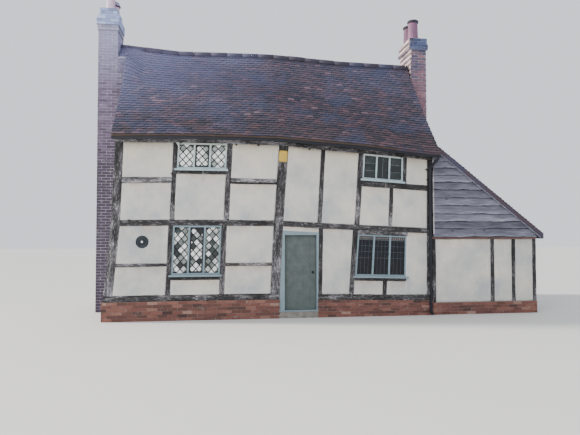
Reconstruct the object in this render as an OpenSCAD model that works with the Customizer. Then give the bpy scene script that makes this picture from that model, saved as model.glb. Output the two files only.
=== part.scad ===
// Half timbered house of two storeys with a bell-cast tiled roof, two outside
// chimney stacks and a boarded lean-to. The frame has racked and settled with age.
// Walls are drawn as if still true and square, and settle() moves every corner.

/* [Bays] */
// Left corner post to the first stud, between centre lines
bay_1 = 1255; // [1000:5:1600]
// First stud to second stud, the bay of the left windows
bay_2 = 1250; // [1000:5:1600]
// Second stud to the main post
bay_3 = 1240; // [1000:5:1600]
// Main post to the next stud, the bay of the front door
bay_4 = 990; // [960:5:1200]
// Narrow blind bay beside the door
bay_5 = 930; // [700:5:1200]
// Last bay, with the right windows, to the right corner post
bay_6 = 1855; // [1750:5:2300]
// Widths of the seven posts and studs, from left to right
post_w = [190, 100, 120, 220, 100, 125, 130]; // [80:5:240]
// How far each ground floor post stands to the right of the one above it
ground_shift = [0, -20, -40, 0, 45, -30, 0]; // [-50:5:50]
// Depth of the house from front to back, over the timbers
house_w = 4200; // [3800:10:5200]

/* [Storeys] */
// Top of the brick plinth above the ground
plinth_h = 450; // [300:10:600]
// Depth of the sill beam that lies on the plinth
sill_h = 140; // [100:5:180]
// Depth of the girding beam
beam_h = 130; // [100:5:180]
// Underside of the wall plate under the eaves
plate_z = 4130; // [4000:10:4400]
// Depth of the wall plate
plate_h = 120; // [100:5:160]
// Top of the ground floor above the ground
floor_h = 150; // [100:10:250]
// Thickness of the boarded upper floor
upper_floor_t = 90; // [60:5:110]

/* [Settlement] */
// Fall of the frame at each post line, as a share of the fall at the right corner
fall = [0.08, 0, 0, 0.05, 0.35, 0.56, 1]; // [0:0.01:1]
// Fall of the wall plate at the right corner
settle_top = 285; // [0:5:350]
// Fall of the sill beam at the right corner
settle_foot = 85; // [0:5:120]
// Lean of each upper post to the right, in degrees
lean_up = [1.9, 2.4, 2.6, 4.0, 3.1, 3.6, 0.5]; // [0:0.1:5]
// Lean of each ground floor post to the right, in degrees
lean_low = [5.6, 2.0, 2.0, 3.0, 0.8, 4.2, 0.5]; // [0:0.1:6]

/* [Walls] */
// Thickness of the timber walls
wall_t = 130; // [110:5:160]
// Thickness of the plaster panels
panel_t = 100; // [60:5:100]
// Setback of the plaster behind the face of the timbers
panel_back = 12; // [5:1:20]
// Thickness of the brick plinth
plinth_t = 230; // [200:5:260]
// Distance by which the plinth stands out beyond the timbers
plinth_out = 20; // [5:5:30]
// Height of the rails in the plain bays
rail_z = 3185; // [3000:5:3250]
// Depth of these rails
rail_h = 130; // [80:5:150]
// Height of the low rail in the ground floor bays
low_rail_z = 1250; // [1150:5:1350]
// Depth of the low rail
low_rail_h = 70; // [50:5:100]
// Places of the gable studs, as shares of the depth of the house
gable_share = [0.31, 0.69]; // [0.25:0.01:0.75]
// Width of the gable studs
gable_stud_w = 110; // [90:5:130]
// Snug gap between neighbouring pieces of the frame
snug = 0.4; // [0.3:0.1:0.5]

/* [Windows] */
// Bottom of the upper left window
win_a_z = 3520; // [3490:5:3600]
// Bottom of the upper right window
win_b_z = 3490; // [3480:5:3600]
// Width of the upper right window, beside its post
win_b_w = 1075; // [900:5:1100]
// Bottom of both ground floor windows
win_low_z = 1050; // [1020:5:1150]
// Width of the lower right window, beside its post
win_low_w = 1245; // [1000:5:1300]
// Lights in each window
lights = 3; // [2:1:4]
// Face width of the window frames and mullions
frame_w = 42; // [30:1:60]
// Depth of the window frames
frame_t = 70; // [50:5:85]
// Setback of the window frames behind the timbers
frame_back = 14; // [5:1:25]
// Height of the window sills
win_sill_h = 45; // [30:5:60]
// Distance by which the sills stand out beyond the timbers
win_sill_out = 50; // [30:5:80]
// Thickness of the glass
glass_t = 6; // [4:1:8]
// Depth of the thin rails under the windows
under_rail_h = 75; // [60:5:100]
// Depth of the rail under the upper right window
wide_rail_h = 140; // [100:5:150]
// Width of the light studs in the last bay
light_stud_w = 95; // [80:5:120]
// Distance of the light ground floor stud from the post beside the windows
light_low_in = 655; // [500:5:700]
// Distance between the two light studs of the upper storey
light_step = 345; // [300:5:400]

/* [Front door] */
// Width of the door leaf
leaf_w = 760; // [700:5:780]
// Height of the door leaf
leaf_h = 1780; // [1700:5:1785]
// Thickness of the door leaf
leaf_t = 45; // [35:1:55]
// Gap around the door leaf
leaf_gap = 6; // [5:0.5:8]
// Distance from the main post to the leaf, at the height of the beam
door_in = 50; // [45:5:60]
// Height of the threshold above the floor
threshold_h = 30; // [20:5:40]
// Height of the head of the door frame
head_h = 123; // [80:1:140]
// Height of the plaster strip between that head and the girding beam
over_door_h = 100; // [80:5:150]
// Planks in the leaf
planks = 5; // [4:1:7]
// Groove between two planks
groove_w = 6; // [4:1:8]
// Distance of the hinge line behind the wall
hinge_off = 14; // [13:1:18]
// Heights of the two hinges, as shares of the height of the leaf
hinge_share = [0.15, 0.83]; // [0.1:0.01:0.9]
// Radius of a hinge pin
pin_r = 5; // [4:0.5:6]
// Outer radius of a hinge eye
eye_r = 11; // [9:0.5:12]
// Length of a strap hinge
strap_l = 456; // [350:1:600]
// Height of a strap hinge
strap_h = 40; // [30:1:50]
// Thickness of a strap hinge
strap_t = 6; // [5:0.5:8]
// Reach of a pintle bracket over the door frame
bracket_l = 36; // [30:1:40]
// Height of a pintle bracket
bracket_h = 25; // [20:1:35]
// Distance of the knob from the edge of the leaf
knob_in = 70; // [60:5:90]
// Radius of the plate behind the knob
knob_plate_r = 35; // [25:1:45]
// Radius of the knob
knob_r = 12; // [10:1:20]
// Distance by which the knob stands out
knob_out = 20; // [15:1:30]

/* [Roof] */
// Top of the roof at its left end, above the ground
ridge_z = 7065; // [6800:10:7300]
// Sag of the ridge at each post line, below its left end
ridge_sag = [0, 101, 77, 59, 115, 170, 200]; // [0:1:300]
// Overhang of the tiles in front of the wall
overhang = 215; // [190:5:260]
// Rise of the tile edge above the underside of the wall plate, at each post line
eave_up = [150, 170, 175, 180, 200, 205, 150]; // [140:5:220]
// Hollow of the bell-cast slope, measured down from a straight line
bell = 80; // [0:5:120]
// Thickness of battens and tiles, measured upright
roof_v = 150; // [130:5:160]
// Thickness of the tile edge at the eaves, measured upright
edge_v = 55; // [45:5:70]
// Overhang of the roof past the left corner post
verge_left = -20; // [-40:5:20]
// Overhang of the roof past the right corner post
verge_right = 150; // [120:5:180]
// Number of rafters on each slope
rafters = 12; // [10:1:16]
// Width of a rafter
rafter_w = 85; // [60:5:100]
// Depth of a rafter, measured upright
rafter_v = 190; // [160:5:200]
// Distance of the rafter feet in front of the wall
rafter_foot = 133; // [100:1:150]
// Thickness of the board over the rafter feet
fascia_t = 22; // [18:1:30]
// Depth of that board
fascia_h = 75; // [60:5:90]
// Outer radius of the ridge tiles
ridge_r = 120; // [90:5:140]
// Thickness of the ridge tiles over the top of the roof
ridge_t = 20; // [15:1:30]
// Longest ridge tile
ridge_tile_l = 450; // [300:10:500]
// Joint between two ridge tiles
ridge_joint = 6; // [4:1:10]

/* [Left chimney] */
// Width of the left stack beyond the left corner post
stack_l_out = 660; // [500:5:700]
// Width of the left shaft
shaft_l_w = 470; // [400:5:500]
// Distance of the front of the left stack before the ridge line
stack_fore = 540; // [450:5:600]
// Depth of the left stack
stack_l_d = 730; // [650:5:800]
// Height of the tiled edge of the shoulder beside the left shaft
shoulder_z = 6580; // [6500:10:6650]
// Top of the left shaft, under its cap
shaft_l_z = 7280; // [7200:10:7500]

/* [Right chimney] */
// Gap between the corner post line and the foot of the right stack
stack_r_in = 62; // [60:1:70]
// Distance by which the foot of the right stack stands out to the left of its shaft
foot_r_w = 140; // [100:5:180]
// Height of that foot
foot_r_z = 5700; // [4500:50:5800]
// Width of the right shaft
stack_r_w = 460; // [420:5:560]
// Depth of the right stack
stack_r_d = 860; // [750:5:900]
// Distance of the front of the right stack before the ridge line
stack_r_fore = 230; // [200:5:400]
// Top of the right shaft, under its cap
shaft_r_z = 7300; // [7200:10:7500]

/* [Chimney caps] */
// Distance by which the bands stand out beyond the shafts
cap_out = 42; // [20:1:60]
// Height of the corbelled courses under the left band
corbel_l_h = 140; // [60:5:200]
// Height of the left band
band_l_h = 230; // [150:5:260]
// Height of the crown over the left band
crown_l_h = 225; // [100:5:250]
// Distance by which the left crown stands back from the face of the shaft
crown_l_in = 15; // [0:1:40]
// Height of the right band
band_r_h = 150; // [100:5:200]
// Height of the crown over the right band
crown_r_h = 180; // [100:5:200]
// Distance by which the right crown stands out beyond the shaft
crown_r_out = 20; // [0:1:45]
// Outer radius of a left chimney pot at its foot
pot_l_r = 120; // [90:1:130]
// Heights of the two left chimney pots, from the front one to the back one
pot_l_h = [400, 380]; // [250:10:500]
// Outer radius of a right chimney pot at its foot
pot_r_r = 150; // [100:1:155]
// Heights of the two right chimney pots, from the front one to the back one
pot_r_h = [580, 540]; // [350:5:620]
// Wall of a chimney pot
pot_t = 22; // [15:1:30]
// Places of the two left pots, as shares of the depth of their shaft
pot_l_depth = [0.27, 0.73]; // [0.2:0.01:0.8]
// Places of the two left pots, as shares of the width of their shaft
pot_l_side = [0.54, 0.66]; // [0.3:0.01:0.7]
// Places of the two right pots, as shares of the depth of their shaft
pot_r_depth = [0.25, 0.66]; // [0.2:0.01:0.8]
// Place of both right pots, as a share of the width of their shaft
pot_r_side = 0.34; // [0.34:0.01:0.66]

/* [Lean-to] */
// Length of the lean-to beyond the right corner post
lean_l = 2790; // [2500:10:3200]
// Slope of the lean-to roof, in degrees
lean_pitch = 37.7; // [34:0.1:40]
// Top of the lean-to roof where it leaves the main verge
lean_top_z = 4170; // [4100:10:4250]
// Thickness of the lean-to roof, measured upright
lean_roof_v = 120; // [90:5:140]
// Overhang of the lean-to roof past its end wall
lean_eave = 170; // [100:5:250]
// Overhang of the lean-to roof past its front and back walls
lean_verge = 60; // [40:5:90]
// Thickness of the weatherboarding
board_t = 25; // [20:1:32]
// Underside of the plate below the weatherboarding
lean_plate_z = 1870; // [1800:5:1900]
// Depth of that plate
lean_plate_h = 85; // [70:5:110]
// Width of the lean-to posts
lean_post_w = 95; // [80:5:110]
// Distance from the end post to the next one, between centre lines
lean_bay = 570; // [500:5:700]
// Height of the lean-to plinth
lean_plinth_h = 300; // [250:10:350]
// Thickness of the lean-to frame
lean_frame_t = 95; // [80:5:110]
// Thickness of the lean-to panels
lean_panel_t = 73; // [50:1:75]
// Depth of the raking timber under the lean-to roof
rake_h = 90; // [70:5:110]
// Height of the plate that the boarding covers
board_lap = 42; // [20:1:60]
// Distance of the roof's inner strip from the front and back walls
strip_in = 420; // [400:10:600]

/* [Rainwater and ironwork] */
// Width of the eaves gutter
gutter_w = 70; // [60:5:90]
// Height of the eaves gutter
gutter_h = 50; // [45:5:60]
// Thickness of the gutter
gutter_t = 5; // [4:1:6]
// Gap between the tile edge and the gutter
gutter_clear = 8; // [5:1:15]
// Radius of the downpipe
pipe_r = 34; // [28:1:38]
// Gap between the collars of the downpipe and the plinth
pipe_clear = 2; // [1:0.5:15]
// Distance of the gutter outlet from the end of the gutter
outlet_in = 60; // [40:5:90]
// Height of the swan neck between the outlet and the straight pipe
neck_h = 260; // [200:10:350]
// Heights of the shoe and of its open end
shoe_z = [90, 45]; // [40:5:120]
// Reach of the shoe in front of the pipe
shoe_out = 70; // [50:5:100]
// Heights of the pipe clips
clip_z = [900, 2300, 3560]; // [500:10:3700]
// Width and height of a pipe clip
clip_size = [100, 40]; // [20:5:120]
// Distance of the round wall plate from the left corner
tie_x = 690; // [600:5:760]
// Height of the round wall plate above the ground
tie_z = 1815; // [1700:5:1850]
// Radius of the round wall plate
tie_r = 142; // [110:1:160]
// Thickness of the rim of the wall plate
tie_rim_t = 20; // [14:1:30]
// Distance by which the nut of the wall plate stands out
tie_nut_out = 34; // [25:1:45]

/* [Hidden] */
$fn = 48;
post_x = [
    post_w[0] / 2,
    post_w[0] / 2 + bay_1,
    post_w[0] / 2 + bay_1 + bay_2,
    post_w[0] / 2 + bay_1 + bay_2 + bay_3,
    post_w[0] / 2 + bay_1 + bay_2 + bay_3 + bay_4,
    post_w[0] / 2 + bay_1 + bay_2 + bay_3 + bay_4 + bay_5,
    post_w[0] / 2 + bay_1 + bay_2 + bay_3 + bay_4 + bay_5 + bay_6
];
last = len(post_x) - 1;
house_l = post_x[last] + post_w[last] / 2;
// Underside of the girding beam, which the door, its frame and the strip above it set
beam_z = floor_h + threshold_h + leaf_h + 2 * leaf_gap + head_h + over_door_h;
beam_top = beam_z + beam_h;
plate_top = plate_z + plate_h;
sill_top = plinth_h + sill_h;
timber_black = [0.16, 0.14, 0.13];
plaster_white = [0.86, 0.84, 0.78];
brick_red = [0.60, 0.38, 0.31];
tile_brown = [0.36, 0.24, 0.22];
paint_blue = [0.62, 0.74, 0.75];
cap_blue = [0.36, 0.38, 0.44];
pot_red = [0.71, 0.38, 0.32];
floor_stone = [0.55, 0.50, 0.45];
board_grey = [0.45, 0.42, 0.42];
pipe_black = [0.06, 0.07, 0.08];

// Settlement of the frame
// A point is given by its place along the front and its height in the true house.
fall_table = [for (i = [0:last]) [post_x[i], fall[i]]];
up_table = [for (i = [0:last]) [post_x[i], tan(lean_up[i])]];
low_table = [for (i = [0:last]) [post_x[i], tan(lean_low[i])]];

function drop(x, z) =
    lookup(x, fall_table)
    * (settle_foot + (settle_top - settle_foot) * (z - plinth_h) / (plate_z - plinth_h));
function lean(x, z) = z > beam_z ? lookup(x, up_table) : lookup(x, low_table);
function settle(x, z) = [x + lean(x, z) * (z - beam_z), z - drop(x, z)];

// Corners of an upright face, with one more wherever the settlement bends
function stations(x0, x1) = concat(x0, [for (x = post_x) if (x > x0 + 1 && x < x1 - 1) x], x1);
function heights(z0, z1) = z0 < beam_z && z1 > beam_z ? [z0, beam_z, z1] : [z0, z1];
function face(x0, x1, z0, z1) =
    let (xs = stations(x0, x1), zs = heights(z0, z1), n = len(xs) - 1, m = len(zs) - 1)
    concat(
        [for (x = xs) settle(x, z0)],
        [for (j = [1:1:m - 1]) settle(x1, zs[j])],
        [for (i = [n:-1:0]) settle(xs[i], z1)],
        [for (j = [m - 1:-1:1]) settle(x0, zs[j])]
    );

// Places the origin at the middle of the house, on the ground
module in_place() translate([-house_l / 2, -house_w / 2, 0]) children();

// Solid that is an upright face carried back from y0 to y1
module carry_back(y0, y1) translate([0, y1, 0]) rotate([90, 0, 0]) linear_extrude(y1 - y0) children();

// Settled timber or panel that fills the given face
module piece(x0, x1, z0, z1, y0, y1) carry_back(y0, y1) polygon(face(x0, x1, z0, z1));

// Repeats a piece of the front wall on the back wall, turned to face out
module both_walls() {
    children();
    translate([0, house_w, 0]) mirror([0, 1, 0]) children();
}

// Edges of the clear space between two posts
function ground_x(i) = post_x[i] + ground_shift[i];
function bay_left(i) = post_x[i] + post_w[i] / 2 + snug;
function bay_right(i) = post_x[i + 1] - post_w[i + 1] / 2 - snug;
function low_left(i) = ground_x(i) + post_w[i] / 2 + snug;
function low_right(i) = ground_x(i + 1) - post_w[i + 1] / 2 - snug;

// Roof surface
// The share s runs from the tile edge at 0 to the ridge at 1.
sag_table = [for (i = [0:last]) [post_x[i], ridge_sag[i]]];
roof_x0 = -verge_left;
roof_x1 = house_l + verge_right;
half_run = house_w / 2 + overhang;
roof_steps = 8;

roof_xs = concat(roof_x0, [for (i = [1:last]) post_x[i]], roof_x1);
rise_table = [for (i = [0:last]) [post_x[i], eave_up[i]]];
eave_line = [for (x = roof_xs) [x, plate_z - drop(x, plate_z) + lookup(x, rise_table)]];
ridge_line = [for (x = roof_xs) [x, ridge_z - lookup(x, sag_table)]];

function eave_z(x) = lookup(x, eave_line);
function ridge_top(x) = lookup(x, ridge_line);
function roof_top(x, s) =
    eave_z(x) + (ridge_top(x) - eave_z(x)) * s - bell * 4 * s * (1 - s);
function roof_share(y) = (y + overhang) / half_run;
function roof_thick(s) = lookup(s, [[0, edge_v], [roof_share(0), roof_v]]);
function roof_under(x, y) = roof_top(x, roof_share(y)) - roof_thick(roof_share(y));
roof_shares = concat(0, roof_share(0), [for (i = [1:roof_steps]) roof_share(i * house_w / 2 / roof_steps)]);

// Lowest height of the underside of the roof between two places along the house
function low_under(xa, xb, y) =
    min([for (x = concat(xa, xb, post_x)) if (x >= xa && x <= xb) roof_under(x, y)]);

// Half of the roof's cross-section below its tiles, from the wall to the ridge
function under_line(xa, xb, clear) = [
    for (i = [0:roof_steps])
        let (y = i * house_w / 2 / roof_steps)
        [y, low_under(xa, xb, y) - clear]
];
function mirrored(points) = [for (i = [len(points) - 1:-1:0]) [house_w - points[i][0], points[i][1]]];

// Everything between x0 and x1 that lies below the roof of the stretch from xa to xb
module under_roof(xa, xb, x0, x1, clear) {
    line = under_line(xa, xb, clear);
    translate([x0, 0, 0])
        rotate([90, 0, 90])
            linear_extrude(x1 - x0)
                polygon(concat([[house_w, 0], [0, 0]], line, mirrored(line)));
}

// Front slope as a thick sheet between the roof surface and its underside
module slope() {
    ns = len(roof_shares);
    nx = len(roof_xs);
    top = [for (x = roof_xs) for (s = roof_shares) [x, s * half_run - overhang, roof_top(x, s)]];
    under = [for (p = top) [p[0], p[1], p[2] - roof_thick(roof_share(p[1]))]];
    trimmed = [for (p = concat(top, under)) [p[0], min(p[1], house_w / 2 - snug / 2), p[2]]];
    function at(i, j, k) = k * nx * ns + i * ns + j;
    // The underside folds upwards where a bay twists, so that the rafters stay clear of it
    function under_faces(a, b, c, d) =
        trimmed[a][2] + trimmed[c][2] > trimmed[b][2] + trimmed[d][2]
            ? [[a, b, c], [a, c, d]]
            : [[a, b, d], [d, b, c]];
    polyhedron(
        points = trimmed,
        faces = concat(
            [for (i = [0:nx - 2]) for (j = [0:ns - 2]) for (f = [
                [at(i, j, 0), at(i, j + 1, 0), at(i + 1, j, 0)],
                [at(i, j + 1, 0), at(i + 1, j + 1, 0), at(i + 1, j, 0)]
            ]) f],
            [for (i = [0:nx - 2]) for (j = [0:ns - 2])
                for (f = under_faces(at(i, j, 1), at(i + 1, j, 1), at(i + 1, j + 1, 1), at(i, j + 1, 1))) f],
            [for (i = [0:nx - 2]) for (f = [
                [at(i, 0, 0), at(i + 1, 0, 0), at(i, 0, 1)],
                [at(i + 1, 0, 0), at(i + 1, 0, 1), at(i, 0, 1)],
                [at(i, ns - 1, 0), at(i, ns - 1, 1), at(i + 1, ns - 1, 0)],
                [at(i + 1, ns - 1, 0), at(i, ns - 1, 1), at(i + 1, ns - 1, 1)]
            ]) f],
            [for (j = [0:ns - 2]) for (f = [
                [at(0, j, 0), at(0, j, 1), at(0, j + 1, 0)],
                [at(0, j + 1, 0), at(0, j, 1), at(0, j + 1, 1)],
                [at(nx - 1, j, 0), at(nx - 1, j + 1, 0), at(nx - 1, j, 1)],
                [at(nx - 1, j + 1, 0), at(nx - 1, j + 1, 1), at(nx - 1, j, 1)]
            ]) f]
        )
    );
}

// Plinth and floors

// Ends of the doorway at the foot of its jambs
door_left = settle(low_left(3) - snug, plinth_h)[0];
door_right = settle(low_right(3) + snug, plinth_h)[0];
// Outer faces of the two gables at the top of the plinth
foot_left = settle(0, plinth_h)[0];
foot_right = settle(house_l, plinth_h)[0];
// Front and outer edges of the plinth
plinth_x0 = foot_left - plinth_out;
plinth_x1 = foot_right + plinth_out;

// Brick wall from the ground up to the sill beam, between two places along the front
module plinth_run(x0, x1, y0, y1, ends) {
    xs = [for (x = post_x) let (p = settle(x, plinth_h)) if (p[0] > x0 + 1 && p[0] < x1 - 1) p];
    carry_back(y0, y1)
        polygon(concat([[x1, 0], [x0, 0], [x0, ends[0]]], xs, [[x1, ends[1]]]));
}

function plinth_top_at(x) = plinth_h - lookup(x, [for (p = post_x) [settle(p, plinth_h)[0], drop(p, plinth_h)]]);

module plinth() {
    in_place() color(brick_red) {
        front_y = plinth_t - plinth_out;
        back_y = house_w - front_y;
        plinth_run(plinth_x0, door_left, -plinth_out, front_y,
            [plinth_top_at(plinth_x0), plinth_top_at(door_left)]);
        plinth_run(door_right, plinth_x1, -plinth_out, front_y,
            [plinth_top_at(door_right), plinth_top_at(plinth_x1)]);
        plinth_run(plinth_x0, plinth_x1, back_y, house_w + plinth_out,
            [plinth_top_at(plinth_x0), plinth_top_at(plinth_x1)]);
        plinth_run(plinth_x0, plinth_x0 + plinth_t, front_y, back_y,
            [plinth_top_at(plinth_x0), plinth_top_at(plinth_x0 + plinth_t)]);
        plinth_run(plinth_x1 - plinth_t, plinth_x1, front_y, back_y,
            [plinth_top_at(plinth_x1 - plinth_t), plinth_top_at(plinth_x1)]);
    }
}

// Stone step in the doorway, level with the floor
module doorstep() {
    in_place() color([0.62, 0.60, 0.56])
        translate([door_left + snug, -plinth_out, 0])
            cube([door_right - door_left - 2 * snug, plinth_t, floor_h]);
}

module ground_floor() {
    inner_x0 = plinth_x0 + plinth_t + snug;
    inner_x1 = plinth_x1 - plinth_t - snug;
    inner_y = plinth_t - plinth_out + snug;
    in_place() color(floor_stone)
        translate([inner_x0, inner_y, 0])
            cube([inner_x1 - inner_x0, house_w - 2 * inner_y, floor_h]);
}

// Boarded floor that rests between the girding beams
upper_floor_z = beam_top - upper_floor_t;

module upper_floor() {
    in_place() color([0.50, 0.38, 0.27])
        piece(wall_t + snug, house_l - wall_t - snug, upper_floor_z, beam_top,
            wall_t + snug, house_w - wall_t - snug);
}

// Timber frame of the front and back walls

module sill_beams() {
    in_place() color(timber_black) {
        z0 = plinth_h + snug;
        piece(0, low_left(3) - 2 * snug, z0, sill_top, 0, wall_t);
        piece(low_right(3) + 2 * snug, house_l, z0, sill_top, 0, wall_t);
        piece(0, house_l, z0, sill_top, house_w - wall_t, house_w);
        piece(0, wall_t, z0, sill_top, wall_t + snug, house_w - wall_t - snug);
        piece(house_l - wall_t, house_l, z0, sill_top, wall_t + snug, house_w - wall_t - snug);
    }
}

// Full height post on one of the post lines
module post(i) {
    piece(post_x[i] - post_w[i] / 2, post_x[i] + post_w[i] / 2, sill_top + snug, plate_z - snug, 0, wall_t);
}

module corner_posts() {
    in_place() color(timber_black)
        both_walls() {
            post(0);
            post(last);
        }
}

module main_posts() {
    in_place() color(timber_black) both_walls() post(3);
}

// Left sides of the light studs in the last bay
light_low_x = bay_left(5) + light_low_in;
light_up_x = bay_left(5) + win_b_w + snug;
light_mid_x = light_up_x - light_step;
win_low_sill_z = win_low_z - win_sill_h;
win_low_rail_z = win_low_sill_z - under_rail_h;

module lower_studs() {
    in_place() color(timber_black)
        both_walls() {
            for (i = [1, 2, 4, 5])
                piece(ground_x(i) - post_w[i] / 2, ground_x(i) + post_w[i] / 2,
                    sill_top + snug, beam_z - snug, 0, wall_t);
            piece(light_low_x, light_low_x + light_stud_w, sill_top + snug, win_low_rail_z - snug, 0, wall_t);
        }
}

module upper_studs() {
    in_place() color(timber_black)
        both_walls() {
            for (i = [1, 2, 4, 5])
                piece(post_x[i] - post_w[i] / 2, post_x[i] + post_w[i] / 2,
                    beam_top + snug, plate_z - snug, 0, wall_t);
            piece(light_up_x, light_up_x + light_stud_w, wide_rail_z + wide_rail_h + snug, plate_z - snug,
                0, wall_t);
            piece(light_mid_x, light_mid_x + light_stud_w, beam_top + snug, wide_rail_z - snug, 0, wall_t);
        }
}

module girding_beams() {
    in_place() color(timber_black)
        both_walls() {
            piece(bay_left(0), bay_right(2), beam_z, beam_top, 0, wall_t);
            piece(bay_left(3), bay_right(5), beam_z, beam_top, 0, wall_t);
        }
}

module wall_plates() {
    in_place() color(timber_black)
        both_walls() piece(0, house_l, plate_z, plate_top, 0, wall_t);
}

// Height of the rails under the two upper windows
thin_rail_z = win_a_z - win_sill_h - under_rail_h;
wide_rail_z = win_b_z - win_sill_h - wide_rail_h;

module rails() {
    in_place() color(timber_black)
        both_walls() {
            for (i = [0, 2]) {
                piece(bay_left(i), bay_right(i), rail_z, rail_z + rail_h, 0, wall_t);
                piece(low_left(i), low_right(i), low_rail_z, low_rail_z + low_rail_h, 0, wall_t);
            }
            piece(bay_left(1), bay_right(1), thin_rail_z, thin_rail_z + under_rail_h, 0, wall_t);
            piece(bay_left(5), bay_right(5), wide_rail_z, wide_rail_z + wide_rail_h, 0, wall_t);
            piece(low_left(1), low_right(1), win_low_rail_z, win_low_rail_z + under_rail_h, 0, wall_t);
            piece(low_left(5), low_left(5) + win_low_w, win_low_rail_z, win_low_rail_z + under_rail_h,
                0, wall_t);
        }
}

// Plaster panel that fills a space in the frame, a little behind its face
module panel(x0, x1, z0, z1) {
    piece(x0, x1, z0 + snug, z1 - snug, panel_back, panel_back + panel_t);
}

module lower_panels(door) {
    for (i = [0, 2]) {
        panel(low_left(i), low_right(i), sill_top, low_rail_z);
        panel(low_left(i), low_right(i), low_rail_z + low_rail_h, beam_z);
    }
    panel(low_left(1), low_right(1), sill_top, win_low_rail_z);
    if (door) panel(low_left(3), low_right(3), beam_z - over_door_h, beam_z);
    else panel(low_left(3), low_right(3), sill_top, beam_z);
    panel(low_left(4), low_right(4), sill_top, beam_z);
    panel(low_left(5), light_low_x - snug, sill_top, win_low_rail_z);
    panel(light_low_x + light_stud_w + snug, low_left(5) + win_low_w, sill_top, win_low_rail_z);
    panel(low_left(5) + win_low_w + snug, bay_right(5), sill_top, beam_z);
}

module upper_panels() {
    for (i = [0, 2]) {
        panel(bay_left(i), bay_right(i), beam_top, rail_z);
        panel(bay_left(i), bay_right(i), rail_z + rail_h, plate_z);
    }
    panel(bay_left(1), bay_right(1), beam_top, thin_rail_z);
    panel(bay_left(3), bay_right(3), beam_top, plate_z);
    panel(bay_left(4), bay_right(4), beam_top, plate_z);
    panel(bay_left(5), light_mid_x - snug, beam_top, wide_rail_z);
    panel(light_mid_x + light_stud_w + snug, bay_right(5), beam_top, wide_rail_z);
    panel(light_up_x + light_stud_w + snug, bay_right(5), wide_rail_z + wide_rail_h, plate_z);
}

module front_lower_panels() {
    in_place() color(plaster_white) lower_panels(true);
}

module front_upper_panels() {
    in_place() color(plaster_white) upper_panels();
}

module back_panels() {
    in_place() color(plaster_white)
        translate([0, house_w, 0]) mirror([0, 1, 0]) {
            lower_panels(false);
            upper_panels();
        }
}

// Gable walls

gable_studs = [for (share = gable_share) house_w * share];
// Above the roof even where the frame has settled most
apex_z = ridge_z + settle_top * 2;

// Timbers of one gable, whose outer face stands at x0 and inner face at x1
module gable_frame(x0, x1) {
    y0 = wall_t + snug;
    y1 = house_w - wall_t - snug;
    piece(x0, x1, beam_z, beam_top, y0, y1);
    piece(x0, x1, plate_z, plate_top, y0, y1);
    for (y = gable_studs) {
        piece(x0, x1, sill_top + snug, beam_z - snug, y - gable_stud_w / 2, y + gable_stud_w / 2);
        piece(x0, x1, beam_top + snug, plate_z - snug, y - gable_stud_w / 2, y + gable_stud_w / 2);
        piece(x0, x1, plate_top + snug, apex_z, y - gable_stud_w / 2, y + gable_stud_w / 2);
    }
}

// Plaster of one gable between its timbers, set back from the outer face
module gable_panels(x0, x1) {
    half = gable_stud_w / 2 + snug;
    edges = concat(wall_t + snug, [for (y = gable_studs) for (d = [-half, half]) y + d], house_w - wall_t - snug);
    for (k = [0:2]) {
        piece(x0, x1, sill_top + snug, beam_z - snug, edges[2 * k], edges[2 * k + 1]);
        piece(x0, x1, beam_top + snug, plate_z - snug, edges[2 * k], edges[2 * k + 1]);
        piece(x0, x1, plate_top + snug, apex_z, edges[2 * k], edges[2 * k + 1]);
    }
}

// Places that the two gables reach at the top of their lean
left_reach = settle(wall_t, apex_z)[0];
right_reach = settle(house_l, apex_z)[0];

module under_left() {
    under_roof(0, left_reach, -house_w, post_x[1], snug);
}

module under_right() {
    under_roof(house_l - wall_t, right_reach, post_x[last - 1], house_l + house_w, snug);
}

module left_gable_frame() {
    in_place() color(timber_black) intersection() {
        gable_frame(0, wall_t);
        under_left();
    }
}

module left_gable_panels() {
    in_place() color(plaster_white) intersection() {
        gable_panels(panel_back, panel_back + panel_t);
        under_left();
    }
}

module right_gable_frame() {
    in_place() color(timber_black) intersection() {
        gable_frame(house_l - wall_t, house_l);
        under_right();
    }
}

module right_gable_panels() {
    in_place() color(plaster_white) intersection() {
        gable_panels(house_l - panel_back - panel_t, house_l - panel_back);
        under_right();
    }
}

// Windows

// Frame with three lights, whose face follows the settled wall
module window_frame(x0, x1, z0, z1) {
    light_w = (x1 - x0 - frame_w) / lights;
    difference() {
        piece(x0, x1, z0 + snug, z1 - snug, frame_back, frame_back + frame_t);
        for (k = [0:lights - 1])
            piece(x0 + frame_w + k * light_w, x0 + (k + 1) * light_w, z0 + frame_w, z1 - frame_w,
                frame_back - 1, frame_back + frame_t + 1);
    }
}

module window_sill(x0, x1, z0) {
    piece(x0, x1, z0 - win_sill_h + snug, z0, 0, frame_back + frame_t);
    piece(x0 - win_sill_h, x1 + win_sill_h, z0 - win_sill_h + snug, z0, -win_sill_out, -snug);
}

module window_panes(x0, x1, z0, z1) {
    light_w = (x1 - x0 - frame_w) / lights;
    glass_y = frame_back + frame_t / 2;
    for (k = [0:lights - 1])
        piece(x0 + frame_w + k * light_w + snug, x0 + (k + 1) * light_w - snug,
            z0 + frame_w + snug, z1 - frame_w - snug, glass_y, glass_y + glass_t);
}

// Places of the four windows of a wall: left, right, bottom and top
win_places = [
    [bay_left(1), bay_right(1), win_a_z, plate_z],
    [bay_left(5), bay_left(5) + win_b_w - snug, win_b_z, plate_z],
    [low_left(1), low_right(1), win_low_z, beam_z],
    [low_left(5), low_left(5) + win_low_w, win_low_z, beam_z]
];

module wall_windows() {
    for (w = win_places) {
        window_frame(w[0], w[1], w[2], w[3]);
        window_sill(w[0], w[1], w[2]);
    }
}

module front_windows() {
    in_place() color(paint_blue) wall_windows();
}

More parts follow.
